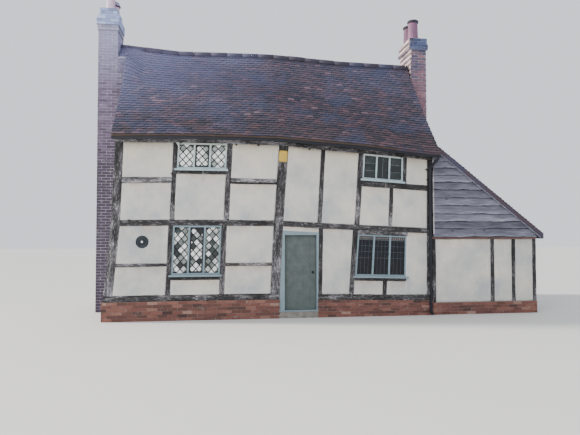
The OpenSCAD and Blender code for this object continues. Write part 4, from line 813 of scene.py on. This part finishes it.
def eaves_fillet(back_wall=False):
    """Strip under the tails of the lowest tiles: 44 mm high, wandering by 4 mm, over 241 stations, with
    a rounded face of five points."""
    x = np.linspace(0.024, 6.7, 241)[None, :, None]
    turn = np.array([-1, -0.6, 0, 0.6, 1])[None, None]
    sway = wander(np.random.default_rng(54), x[:, :, 0], 0.004)[:, :, None]
    z = np.interp(x, ROOF_X, EAVE_LINE) - 0.03 + 0.022 * turn + sway
    y = -0.216 - 0.006 * np.sqrt(1.2 - turn ** 2) + 0 * x
    skin, bed = xyz(x, y, z), xyz(x, -0.2 + 0 * y, z)
    if back_wall:
        skin[..., 1], bed[..., 1] = HOUSE_W - skin[..., 1], HOUSE_W - bed[..., 1]
        skin, bed = skin[:, ::-1], bed[:, ::-1]
    return slabs(skin, bed)


clay_tile = tile_finish("clay_tile", (0.0, "262734"), (0.25, "332e39"), (0.5, "40353e"), (0.72, "4b373f"),
                        (0.9, "574047"), (1.0, "6c5760"), painted_haze="8f92bc")
dress(["front_roof", "back_roof", "left_shoulder", "leanto_roof"],
      tile_finish("tile_edges", (0.0, "463a44"), (0.3, "54434a"), (0.6, "634f55"), painted_haze="8f92bc"))
dress(["rafters"], plain_wood("sawn_rafters", "6b5644", "43352a"))
dress(["fascias"], plain_wood("eaves_board", "74513a", "4a3122"))
for name, surface, seed, flip, shoulder in (("front_tiles", slope_surface, 51, False, 0.765),
                                            ("back_tiles", back_slope_surface, 52, True, 0.916)):
    put(name, [tile_skin(surface, SHOULDER_X, ROOF_END, -0.004, seed, flip=flip,
                         verge=lambda s: np.where(s > shoulder, SHOULDER_X, VERGE_X))], clay_tile)
put("eaves_fillets", [eaves_fillet(), eaves_fillet(True)],
    plain_wood("brown_fillet", "4f4036", "362c27"), smooth=True)

# RIDGE TILES
# Half round clay tiles along the ridge, bedded in mortar. They follow its sag one by one, so each
# joint shows a small step.


def ridge_skin(x0, x1, count, seed):
    """Half round tiles: 128 mm half width and 160 mm high, from 130 mm below the ridge; x along it in
    three stations, the angle over it in eleven, 18 mm thick, each tile a few millimetres out of line."""
    rng = np.random.default_rng(seed)
    ends = np.linspace(x0, x1, count + 1)
    x = (ends[:-1, None] + np.array([0.004, 0.5, 0.996]) * np.diff(ends)[:, None])[:, :, None]
    turn = np.linspace(0, np.pi, 11)[None, None]
    off = rng.normal(0, 0.003, (2, count, 1, 1))
    skin, bed = (xyz(x, HOUSE_W / 2 - (0.128 + out) * np.cos(turn) + off[0] + 0 * x,
                     roof_z(x, 1.0) - 0.13 + (0.16 + out) * np.sin(turn) + np.abs(off[1])) for out in (0, -0.018))
    return *slabs(skin, bed), np.repeat(np.clip(rng.normal(0.45, 0.08, count), 0, 1), 66)


put("ridge_row", [ridge_skin(0.03, ROOF_END, 18, 53), ridge_skin(-0.186, 0.027, 1, 55)],
    tile_finish("ridge_clay", (0.0, "24232d"), (0.5, "312b38"), (1.0, "40363f"), painted_haze="65627f"),
    replaces=["ridge_tiles"], smooth=True)

# CHIMNEYS
# Two outside stacks of soft bricks with oversailing caps. The left one is pinkish, the right one red
# below and blue grey at the top, with tall red pots bedded in mortar.
LEFT_SHAFT = (-0.66, 1.56, 0.47, 0.73)
RIGHT_SHAFT, RIGHT_FOOT = (7.882, 1.87, 0.46, 0.86), (7.742, 1.87, 0.6, 0.86)
LEFT_CORBEL_Z, RIGHT_NECK_Z = 7.28, 5.7
LEFT_CROWN, RIGHT_CROWN = 7.8754, 7.6304
# The far left pot carries a sheet cowl like a bell with a rolled foot, 164 mm high.
FAR_POT = (-0.3498, 2.093)
HOOD_LINE = np.array([(0.08, 0.0), (0.13, 0.02), (0.142, 0.05), (0.134, 0.09), (0.125, 0.3), (0.106, 0.55),
                      (0.075, 0.78), (0.035, 0.93), (0.001, 1.0)]) * [1, 0.164]


def shaft_faces(x0, y0, wide, deep, out=0.0):
    """Place functions and lengths of the four faces of a square shaft, widened by out."""
    x0, y0, wide, deep = x0 - out, y0 - out, wide + 2 * out, deep + 2 * out
    return [(wall_face(x0, y0, (1, 0)), wide), (wall_face(x0 + wide, y0, (0, 1)), deep),
            (wall_face(x0 + wide, y0 + deep, (-1, 0)), wide), (wall_face(x0, y0 + deep, (0, -1)), deep)]


def shaft_bricks(shaft, low, high, seed, out=0.0, tones=(0.5, 0.2), darkening=None):
    """Bricks of all four faces of a shaft."""
    return [lay_bricks(place, length, low, high, seed + i, tones=tones, proud=0.005, darkening=darkening)
            for i, (place, length) in enumerate(shaft_faces(*shaft, out))]


def wall_side(z):
    """Distance from the outer corner of the left stack to the gable wall or, above the roof, to the
    verge; the shoulder ends at 6.58 m and the shaft is 0.47 m wide over it."""
    wall = settle(0 * z, z)[0] - LEFT_SHAFT[0]
    return np.where(z < 4.2, wall, np.where(z < 6.58, 0.68, 0.49))


def dirt_and_painted_shade(a, z):
    """Darkening of the left stack, partly dirt and partly painted shade: 0.6 up to 3.3 m, less and less from there to
    none at 4.9 m, and higher up at most 0.12 on the side of the roof."""
    return 0.6 * np.clip((4.9 - z) / 1.6, 0, 1) + 0.12 * np.clip((a - 0.35) / 0.2, 0, 1) * (z > 4.9)


def sooty_top(a, z):
    """Soot on the right stack: it grows from none at 5.9 m to 0.45 at 7.2 m and fades to the right."""
    return 0.45 * np.clip((z - 5.9) / 1.3, 0, 1) * np.clip(1.25 - 1.6 * a, 0, 1)


def header_rows(a, z):
    """Every other course of the right stack is darker by a half."""
    return 0.5 * (np.floor((z - RIGHT_NECK_Z) / COURSE + 0.01) % 2)


def flipped(part):
    """The same part with its faces turned round, for one that is laid out from inside."""
    return part[0], part[1][:, ::-1], *part[2:]


pink_brick = brick_finish("pink_brick", (0.0, "443c4a"), (0.3, "5d5166"), (0.55, "6f627b"), (0.8, "80728f"),
                          (1.0, "9489a7"), painted_haze="abafd0")
sooty_brick = brick_finish(
    "sooty_brick", (0.0, "42425a"), (0.3, "5a5267"), (0.5, "715a67"), (0.75, "835e68"), (1.0, "997880"))
cap_brick = brick_finish("blue_cap_brick", (0.0, "2c314c"), (0.5, "434c6e"), (1.0, "65719a"))
# The left cap's pale blue colours are partly painted haze: paler than the grey-blue engineering brick they stand for.
pale_cap_brick = brick_finish("pale_cap_brick", (0.0, "74819f"), (0.5, "9aabd9"), (1.0, "c3cfee"))
corbel_brick = brick_finish("corbel_brick", (0.0, "757791"), (0.5, "8b8ba4"), (1.0, "a6a6bd"))
# A pale cream copy of the bricks, painted sunlight for the left faces of the right stack.
painted_sunlit_brick = brick_finish("sunlit_brick_painted", (0.0, "453b45"), (0.3, "6f5b62"), (0.7, "b9a29c"), (1.0, "dccabf"))
dress(["left_stack", "right_stack"], mortar_finish("stack_mortar", "c2bccc", "80798f", painted_haze="e4e8fb"))
dress(["left_cap", "right_cap"], mortar_finish("cap_mortar", "a4a8b8", "6f7486"))
left_faces = shaft_faces(*LEFT_SHAFT)
wide_back = wall_face(LEFT_SHAFT[0], LEFT_SHAFT[1] + LEFT_SHAFT[3], (1, 0))
# The left stack's bricks darken low down, partly dirt and partly painted shade.
left_ways = {"proud": 0.005, "tones": (0.48, 0.12), "darkening": dirt_and_painted_shade}
put("left_stack_bricks", [
    lay_bricks(left_faces[0][0], 0.68, 0, LEFT_CORBEL_Z, 261, inside=wall_side, **left_ways),
    flipped(lay_bricks(lambda a, d, z: wide_back(a, -d, z), 0.68, 0, LEFT_CORBEL_Z, 63, inside=wall_side, **left_ways)),
    # The right face over the roof gets pale tones, 0.95, as painted light, since it would otherwise lie in shade.
    lay_bricks(*left_faces[1], 6.36, LEFT_CORBEL_Z, 62, proud=0.005, tones=(0.95, 0.1)),
    lay_bricks(*left_faces[3], 0, LEFT_CORBEL_Z, 64, **left_ways)], pink_brick)
RIGHT_PARTS = ((RIGHT_NECK_Z, 7.3, 69, 0.0), (7.3, 7.45, 83, 0.042), (7.45, 7.63, 87, 0.02))
right_shaft = shaft_bricks(RIGHT_SHAFT, *RIGHT_PARTS[0], tones=(0.68, 0.15), darkening=sooty_top)
put("right_stack_bricks", shaft_bricks(RIGHT_FOOT, 0.0, RIGHT_NECK_Z, 66, tones=(0.68, 0.16)) + right_shaft[:3],
    sooty_brick)
# The left faces of the right stack get the pale copy as painted sunlight.
put("right_painted_sunlit_bricks", [shaft_bricks(RIGHT_SHAFT, *part, tones=(0.75, 0.15), darkening=header_rows)[3]
                              for part in RIGHT_PARTS], painted_sunlit_brick)
put("left_cap_bricks", shaft_bricks(LEFT_SHAFT, 7.42, 7.65, 75, 0.042)
    + shaft_bricks(LEFT_SHAFT, 7.65, 7.875, 79, -0.015, tones=(0.5, 0.4)), pale_cap_brick)
put("left_corbels", shaft_bricks(LEFT_SHAFT, LEFT_CORBEL_Z, 7.42, 71, 0.021, tones=(0.6, 0.2)), corbel_brick)
put("right_cap_bricks", [face for part in RIGHT_PARTS[1:] for face in shaft_bricks(RIGHT_SHAFT, *part)[:3]],
    cap_brick)


def lid(rim):
    """Flat four-sided faces that close an even ring of points, strip by strip across it."""
    k = np.arange(len(rim) // 2 - 1)
    return np.stack([rim[k], rim[k + 1], rim[-2 - k], rim[-1 - k]], -1)


def turned(line, steps, place, hollow=False):
    """A piece turned about its axis: line gives its radius and height from the foot up, place(u, v, h)
    the point at u, v across the axis and h along it. Its ends are closed by lids, or if it is hollow
    the line runs back down inside to where it began."""
    radius, height = np.array(line, float).T
    turn = np.linspace(0, 2 * np.pi, steps + 1)[:-1, None]
    points = place(radius * np.cos(turn), radius * np.sin(turn), height)
    cell = np.arange(steps * len(line)).reshape(steps, -1)
    if hollow:
        cell = np.hstack([cell, cell[:, :1]])
    far = np.roll(cell, -1, 0)
    faces = np.stack([cell[:, :-1], far[:, :-1], far[:, 1:], cell[:, 1:]], -1).reshape(-1, 4)
    if not hollow:
        faces = np.concatenate([faces, lid(cell[::-1, 0]), lid(cell[:, -1])])
    return points.reshape(-1, 3), faces


def round_pot(x, y, low, radius, height, tone):
    """A thrown pot: its outer line goes up by bead, waist, neck and rolled rim and its inner line comes
    down again. Its rim is black with soot."""
    line = np.array([(1.06, 0), (1.08, 0.03), (1.0, 0.06), (0.97, 0.3), (0.93, 0.6), (0.91, 0.84), (0.93, 0.87),
                     (1.06, 0.89), (1.1, 0.93), (1.08, 0.985), (1.02, 1.0), (0.9, 0.995), (0.82, 0.9), (0.8, 0.5),
                     (0.82, 0.0)])
    sooty = np.interp(line[:, 1], [0, 0.84, 0.88, 1], [0, 0, tone, tone]) * (np.arange(len(line)) < 12)
    part = turned(line * [radius, height], 40, lambda u, v, h: xyz(x + u, y + v, low + h), hollow=True)
    return *part, np.tile(np.maximum(tone - sooty, 0), 40)


def mound(shaft, low, out, rise, seed):
    """Mortar bedded round the pots: u and v over the crown from -1 to 1; it rises by
    rise (1 - u^4)(1 - v^4) and is trowelled uneven by up to 10 mm."""
    rng = np.random.default_rng(seed)
    x0, y0, wide, deep = shaft
    u, v = np.meshgrid(np.linspace(-1, 1, 25), np.linspace(-1, 1, 31), indexing="ij")
    rough = 0.005 * (np.sin(7 * u + rng.uniform(0, 6)) * np.sin(6 * v + rng.uniform(0, 6)) + 1)
    x = x0 + wide / 2 + (wide / 2 + out) * u
    y = y0 + deep / 2 + (deep / 2 + out) * v
    h = 0.002 + rise * (1 - u ** 4) * (1 - v ** 4) + rough * (1 - np.abs(u * v))
    return slabs(xyz(x, y, low + h)[None], xyz(x, y, low - 0.004 + 0 * u)[None])


def flashing(x0, x1, z, y, seed):
    """Lead dressed over the joint of shoulder and stack: a wavy strip 60 mm high over 25 stations."""
    u = np.linspace(0, 1, 25)[None, :, None]
    v = np.array([0, 0.5, 1])[None, None]
    wave = wander(np.random.default_rng(seed), u[..., 0] * 1.4, 0.008)[..., None]
    x, high = x0 + (x1 - x0) * u + 0 * v, z + wave + 0.06 * (v - 0.5)
    return slabs(xyz(x, y - 0.012 + 0.008 * v, high), xyz(x, y + 0.02, high))


pot_clay = tile_finish("pot_clay", (0.0, "2b2932"), (0.22, "5c4255"), (0.5, "8c647c"), (0.8, "b391ae"), (1.0, "d5bbd4"))
put("left_row_of_pots", [round_pot(*at, LEFT_CROWN, 0.118, height, 1.0)
                         for at, height in (((-0.4062, 1.757), 0.4), (FAR_POT, 0.26))],
    pot_clay, replaces=["left_pots"], smooth=True)
put("right_row_of_pots", [round_pot(8.0384, y, RIGHT_CROWN, 0.148, height, tone)
                          for y, height, tone in ((2.085, 0.58, 0.44), (2.4376, 0.54, 0.3))],
    pot_clay, replaces=["right_pots"], smooth=True)
put("left_hood", [turned(HOOD_LINE, 32, lambda u, v, h: xyz(FAR_POT[0] + u, FAR_POT[1] + v, 8.12 + h))],
    metal_finish("dull_sheet", "a59dbd", "79739a", 0.6, 0.1), smooth=True)
put("mortar_mounds", [mound(LEFT_SHAFT, LEFT_CROWN, -0.03, 0.05, 1), mound(RIGHT_SHAFT, RIGHT_CROWN, 0.005, 0.06, 2)],
    mortar_finish("flaunching", "a9a8ae", "7f7e86"), smooth=True)
put("lead_flashing", [flashing(-0.185, 0.018, 6.575, 1.556, 5)],
    metal_finish("weathered_lead", "a2a4b6", "7e8094", 0.6, 0.1), smooth=True)

# LEAN-TO
# A boarded lean-to on a brick plinth against the right gable. Wide waney boards cover the front over
# its plate, thin posts and plaster stand below it, and its tiled roof falls away to the right.
LEAN_X0, LEAN_X1, LEAN_TOP, LEAN_TAN = PLINTH_X1, 10.47, 4.17, math.tan(math.radians(37.7))
LEAN_FOOT, LEAN_HEAD, LEAN_ENDS = 0.3, 1.87, LEAN_X0 + LEAN_X1
BOARD_X0 = 7.708
BOARD_EDGES = np.array([1.93, 2.138, 2.313, 2.505, 2.713, 2.906, 3.107, 3.297, 3.465, 3.649, 3.818, 3.98])
END_STUDS = (1.05, 2.06, 3.06)
lean_end, board_front = wall_face(LEAN_X1, 0, (0, 1)), wall_face(0, 0, (1, 0))
lean_front, lean_back = wall_face(0, 0.012, (1, 0)), wall_face(LEAN_ENDS, HOUSE_W - 0.012, (-1, 0))


def board_back(a, d, z):
    """The point of the back boarding that lies opposite board_front's, so its faces have to be flipped."""
    return xyz(a, HOUSE_W - d, z)


def lean_surface(y, s, h):
    """The lean-to slope: x from its eaves up to the gable, h along the normal, y along the eaves."""
    x = 10.64 - 2.81 * s
    z = LEAN_TOP - (x - ROOF_END) * LEAN_TAN
    tilt = 1 / math.sqrt(1 + LEAN_TAN ** 2)
    return xyz(x + h * LEAN_TAN * tilt, y, z + h * tilt)


def waney_boards(place, seed):
    """Boards with a wild lower edge: each spans from its own foot to 40 mm above the next one's foot,
    over 81 stations; the foot wanders by 15 mm and stands 28 mm proud, the head lies behind the next
    board, and the right end is cut to the slope of the roof. The tone falls as painted shadow under the
    next board's foot and on the board's own lower edge, and rises as a painted highlight just above it."""
    rng = np.random.default_rng(seed)
    foot, head = BOARD_EDGES[:-1, None], BOARD_EDGES[1:, None] + 0.04
    u = np.linspace(0, 1, 81)[None]
    v = np.array([0, 0.03, 0.1, 0.4, 0.7, 0.79, 0.84, 1.0])
    z = foot[..., None] + (head - foot)[..., None] * v + 0 * u[..., None]
    reach = np.minimum(LEAN_X1, ROOF_END + (LEAN_TOP - 0.14 - z) / LEAN_TAN) - 0.004
    a = BOARD_X0 + (reach - BOARD_X0) * u[..., None]
    rough = wander(rng, u * 2.7 + 0 * foot, 0.015)[..., None] * np.array([1, 1, 1, 0.3, 0, 0, 0, 0])
    belly = wander(rng, u * 2.1 + 0 * foot, 0.003)[..., None]
    lift = np.array([-0.022, -0.028, -0.027, -0.018, -0.008, -0.005, -0.003, 0.006]) + belly + 0 * a
    # Tone by height on the board: a painted shadow line at the foot, a painted highlight just above it, and painted
    # shadow under the next board's foot.
    tone = rng.uniform(0.3, 0.7, (len(foot), 1, 1)) + np.array([-0.5, 0.3, 0.14, 0, -0.05, -0.3, -0.6, -0.6]) + 0 * a
    grain = np.stack([a + rng.uniform(0, 9, (len(foot), 1, 1)), z], -1)
    return *slabs(place(a, lift, z + rough), place(a, lift + 0.02, z + rough)), both(tone), both(grain)


def raking_board(place, seed):
    """Barge board under the tiles: 92 mm deep and 20 mm thick along the slope, over 61 stations, its
    lower edge wandering by 6 mm."""
    rng = np.random.default_rng(seed)
    x = np.linspace(7.86, LEAN_X1 + 0.1, 61)[None, :, None]
    v = np.array([0, 0.05, 0.5, 0.95, 1])[None, None]
    top = LEAN_TOP - 0.062 - (x - ROOF_END) * LEAN_TAN
    z = top - 0.092 * (1 - v) + wander(rng, x[..., 0], 0.006)[..., None] * (1 - v)
    lift = -0.052 + 0.004 * np.abs(v - 0.5) + 0 * x
    tone, grain = np.clip(0.75 - 0.3 * v + 0 * x, 0, 1), np.stack([(x + 0 * v) * 1.26, z], -1)
    return *slabs(place(x, lift, z), place(x, lift + 0.02, z)), both(tone), both(grain)


def board_finish(name):
    """Bare oak and elm boards gone blue grey and purple, with dark knots and streaks, and the painted shadow and
    painted highlight that their tone carries.
    """
    board = Finish(name, "grain", Roughness=0.82)
    fibre, patch = board.cloud((3.0, 70, 1), 5, 0.65), board.cloud((1.6, 9, 1), 4, 0.6)
    share = board.sums("ADD", board.sums("MULTIPLY", board.tone(), 0.55), board.sums("MULTIPLY", patch, 0.55))
    board.ramp(board.varied(share, fibre, 0.8), (0.14, "191820"), (0.4, "474753"), (0.64, "6b6b7a"), (0.9, "9fa1b0"))
    knot = board.add("TexVoronoi", {"Vector": board.place((2.4, 5.5, 1)), "Scale": 1.0})
    board.coat("2b272c", board.spread(knot, 0.05, 0.13, 0.8, 0.0))
    return board.done(fibre, 0.005)


put("leanto_plinth_bricks", [
    lay_bricks(wall_face(LEAN_X0, 0, (1, 0)), LEAN_X1 - LEAN_X0, 0, LEAN_FOOT, 91),
    lay_bricks(lean_end, HOUSE_W, 0, LEAN_FOOT, 92),
    lay_bricks(wall_face(LEAN_X1, HOUSE_W, (-1, 0)), LEAN_X1 - LEAN_X0, 0, LEAN_FOOT, 93)], red_brick)
dress(["leanto_plinth"], lime_mortar)
put("leanto_tiles", [tile_skin(lean_surface, -0.06, 4.26, 0.0, 94, lambda y, s: (y > 1.8) & (y < 2.8) & (s > 0.8))],
    clay_tile)
boards = board_finish("weathered_boards")
put("weatherboards", [waney_boards(board_front, 95)], boards)
put("back_weatherboards", [flipped(waney_boards(board_back, 96))], boards)
dress(["leanto_boarding"], plain_wood("inner_boards", "4a4242", "2b2626"))
put("raking_boards", [raking_board(board_front, 97), flipped(raking_board(board_back, 98))],
    board_finish("paler_boards"))
LEAN_POSTS = [LEAN_X0 + 0.0004, LEAN_X1 - 1.235, LEAN_X1 - 0.665, LEAN_X1 - STUD_W]
lean_posts = [(x, x + STUD_W, LEAN_FOOT, LEAN_HEAD, 0.36) for x in LEAN_POSTS]
lean_plate = [(LEAN_POSTS[0], LEAN_X1, 1.868, 1.957, 0.5)]
put("leanto_posts", [timbers(lean_front, lean_posts, True, 27, 0.03),
                     timbers(lean_back, mirrored(lean_posts, LEAN_ENDS), True, 28, 0.03)], oak)
put("leanto_plates", [timbers(lean_front, lean_plate, False, 29, 0.03),
                      timbers(lean_back, lean_plate, False, 30, 0.03)],
    plain_wood("red_brown_plate", "7d5f5a", "4c3937"))
dress(["leanto_frame"], oak_finish("leanto_oak", (40, 40, 3), (9, 9, 1.6), (40, 40, 9), "Object", 0.3))
end_studs = [(a, a + STUD_W, LEAN_FOOT, LEAN_HEAD, 0.36) for a in END_STUDS]
put("leanto_end_studs", [timbers(lean_end, end_studs, True, 37, 0.03),
                         timbers(lean_end, [(0.03, HOUSE_W - 0.03, 1.866, 1.957, 0.45)], False, 38, 0.03)],
    oak)
lean_spaces = [(LEAN_POSTS[k] + STUD_W, LEAN_POSTS[k + 1], LEAN_FOOT, LEAN_HEAD) for k in range(3)]
end_spaces = [(a0, a1, LEAN_FOOT, LEAN_HEAD)
              for a0, a1 in zip((0.107, *(a + STUD_W for a in END_STUDS)), (*END_STUDS, 4.093))]
put("leanto_plaster", [panels(lean_front, lean_spaces, 39), panels(lean_back, mirrored(lean_spaces, LEAN_ENDS), 40),
                       panels(lean_end, end_spaces, 41)], plaster, replaces=["leanto_panels"], smooth=True)
put("edge_strip", [timbers(wall_face(0, -0.036, (1, 0)), [(7.7, 7.728, 1.99, 4.02, 0.95)], True, 31, 0.03)],
    oak)

# SMALL IRONWORK AND FITTINGS
# A cast iron tie plate holds the lower left panel. Oak pegs stand out along the plate and the beam, a
# blank enamelled plate is screwed to the main post, and a stay hangs under each upper sill.
TIE_LINE = [(0.143, -0.01), (0.143, 0.014), (0.136, 0.021), (0.119, 0.021), (0.112, 0.011), (0.095, 0.011),
            (0.092, 0.016), (0.087, 0.016), (0.084, 0.01), (0.062, 0.01), (0.058, 0.014), (0.05, 0.014),
            (0.046, 0.012), (0.03, 0.016), (0.028, 0.034), (0.022, 0.037), (0.0005, 0.038)]
# The last tones, near 1, paint a highlight on the nut.
TIE_TONE = [0, 0.05, 0.08, 0.05, 0.3, 0.42, 0.35, 0.3, 0.05, 0.05, 0.3, 0.3, 0.05, 0.05, 0.6, 0.95, 1.0]
PEG_LINE = [(0.023, -0.02), (0.022, 0.02), (0.018, 0.028), (0.0005, 0.031)]
PEGS = [(2.835, 4.108), (3.36, 4.105), (4.589, 4.04), (5.098, 4.057), (1.55, 4.13), (6.9, 3.9), (0.4, 2.31),
        (1.7, 2.312), (2.647, 2.337), (4.433, 2.26), (5.045, 2.201), (6.3, 2.12), (1.352, 3.4), (7.544, 3.6),
        (7.565, 3.35), (7.35, 2.09)]
SCREW_LINE = [(0.006, -0.004), (0.006, 0.002), (0.004, 0.004), (0.0003, 0.0045)]
PLATE_AT = (3.84, 3.87)


def boss(x, y, z, line, tones, steps):
    """A piece turned about a level axis that points out of the front wall at x, y, z of the settled
    wall: line gives its radius and reach from the rim inwards, tones the tone of each of its points."""
    part = turned(line, steps, lambda u, v, h: xyz(x + u, y - h, z + v))
    return *part, np.tile(np.array(tones, float), steps)


def cast_finish():
    """Cast iron painted black, its web gone grey blue, and its nut painted near white as a highlight."""
    cast = Finish("cast_iron", Roughness=0.45, Metallic=0.3)
    cast.ramp(cast.varied(cast.tone(), cast.cloud(40, 5, 0.6), 0.2),
              (0.0, "10141b"), (0.35, "28323c"), (0.7, "5b666e"), (1.0, "e6e9ec"))
    return cast.done(cast.cloud(90, 4, 0.6), 0.001)


def blank_plate():
    """Enamelled plate 204 x 272 mm, bowed by 3 mm, with rounded corners: u and v over a square whose
    corners are drawn in by a few millimetres."""
    u, v = np.meshgrid(np.linspace(-1, 1, 9), np.linspace(-1, 1, 9), indexing="ij")
    pull = 0.045 * (np.abs(u) * np.abs(v)) ** 6
    a, z = PLATE_AT[0] + 0.102 * u * (1 - pull), PLATE_AT[1] + 0.136 * v * (1 - pull)
    d = -0.016 + 0.003 * u ** 2
    return slabs(front(a, d, z)[None], front(a, d + 0.004, z)[None])


def hanging_stay(x, z, seed):
    """Iron stay that hangs from a sill: a rod 9 mm thick and 255 mm long with a hooked end, eight
    points round it along a path of 25 points."""
    t = np.linspace(0, 1, 25)
    hook = 0.02 * np.clip((t - 0.85) / 0.15, 0, 1) ** 2
    path = xyz(x + 0.004 * np.sin(5 * t + seed) + hook, -0.058 + 0.012 * t, z - 0.255 * t)
    turn = np.linspace(0, 2 * np.pi, 9)[:-1]
    points = path[:, None] + 0.0045 * xyz(np.cos(turn), np.sin(turn), 0 * turn)[None]
    cell = np.arange(25 * 8).reshape(25, 8)
    near = np.roll(cell, -1, 1)
    faces = np.stack([cell[:-1], cell[1:], near[1:], near[:-1]], -1).reshape(-1, 4)
    return points.reshape(-1, 3), np.concatenate([faces, lid(cell[0]), lid(cell[-1, ::-1])])


def corner_fillet():
    """Painted fillet that closes the racked head of the upper left window: 84 mm wide at its top and
    running out 238 mm below, with a hollow left edge."""
    v = np.linspace(0, 1, 13)[None, None]
    u = np.array([0, 0.5, 1])[None, :, None]
    x, z = 1.512 - (0.078 * v ** 2.2 + 0.006) * (1 - u) + 0.012 * (1 - v), 3.9 + 0.238 * v
    return slabs(xyz(x, -0.02 + 0.004 * (2 * u - 1) ** 2, z), xyz(x, 0.03 + 0 * u, z))


cast_iron = cast_finish()
put("tie_plate", [boss(0.69, 0.012, 1.815, TIE_LINE, TIE_TONE, 64)], cast_iron,
    replaces=["wall_tie"], smooth=True)
put("oak_pegs", [boss(x, 0.0, z, PEG_LINE, [0.1, 0.1, 0.12, 0.12], 12) for x, z in PEGS],
    metal_finish("tarred_pegs", "2a2627", "121011", 0.7, 0.0))
put("blank_plate", [blank_plate()], paint_finish("ochre_enamel", "cfae4e", "b8963c", "7c6433"),
    smooth=True)
screws = [front(PLATE_AT[0] + 0.088 * i, -0.016, PLATE_AT[1] + 0.12 * j) for i in (-1, 1) for j in (-1, 1)]
put("plate_screws", [boss(*screw, SCREW_LINE, [0.5] * 4, 10) for screw in screws], cast_iron, smooth=True)
put("corner_fillet", [corner_fillet()], blue_paint, smooth=True)
put("sill_stays", [hanging_stay(2.062, 3.49, 0), hanging_stay(6.476, 3.262, 1)],
    metal_finish("galvanised_stay", "b9b4b2", "8a8583", 0.5, 0.2), smooth=True)

# FLOOR, LIGHT AND CAMERA
# A plain pale floor, one broad lamp in front on the left, a weak low sun from the left and an even
# pale surround. The camera stands where the photograph was taken.
floor_mesh = bpy.data.meshes.new("studio_floor")
floor_mesh.from_pydata([(-60, -60, 0), (60, -60, 0), (60, 60, 0), (-60, 60, 0)], [], [(0, 1, 2, 3)])
pale_floor = Finish("pale_floor", Roughness=0.9)
pale_floor.shader.inputs["Base Color"].default_value = (0.62, 0.61, 0.59, 1)
floor_mesh.materials.append(pale_floor.material)
studio_floor = bpy.data.objects.new("studio_floor", floor_mesh)
bpy.context.scene.collection.objects.link(studio_floor)

world = bpy.data.worlds.new("pale_surround")
world.use_nodes = True
surround = world.node_tree.nodes["Background"].inputs
surround["Color"].default_value = (0.86, 0.9, 0.97, 1)
surround["Strength"].default_value = 1.2
bpy.context.scene.world = world


def lamp(name, kind, energy, where, size, colour):
    """Lamp or sun at where, aimed at the house 3 m up. size is the side of a lamp or the width of the
    sun as an angle."""
    data = bpy.data.lights.new(name, kind)
    data.energy, data.color = energy, colour
    if kind == "AREA":
        data.shape, data.size = "SQUARE", size
    else:
        data.angle = size
    lamp_object = bpy.data.objects.new(name, data)
    lamp_object.location = where
    lamp_object.rotation_mode = "QUATERNION"
    lamp_object.rotation_quaternion = (Vector((0, 0, 3)) - Vector(where)).to_track_quat("-Z", "Y")
    bpy.context.scene.collection.objects.link(lamp_object)


lamp("front_lamp", "AREA", 1700, (-10, -16, 12), 10, (1, 0.98, 0.95))
lamp("low_sun", "SUN", 6.5, (-20, 4, 12), 0.12, (1, 0.95, 0.88))

camera_data = bpy.data.cameras.new("photo_camera")
camera_data.lens = 32.28
camera_data.sensor_width = 36
camera = bpy.data.objects.new("photo_camera", camera_data)
camera.location = (-1.45, -14.4, 2.0)
camera.rotation_euler = (math.radians(91.8), 0, math.radians(-8))
bpy.context.scene.collection.objects.link(camera)
bpy.context.scene.camera = camera
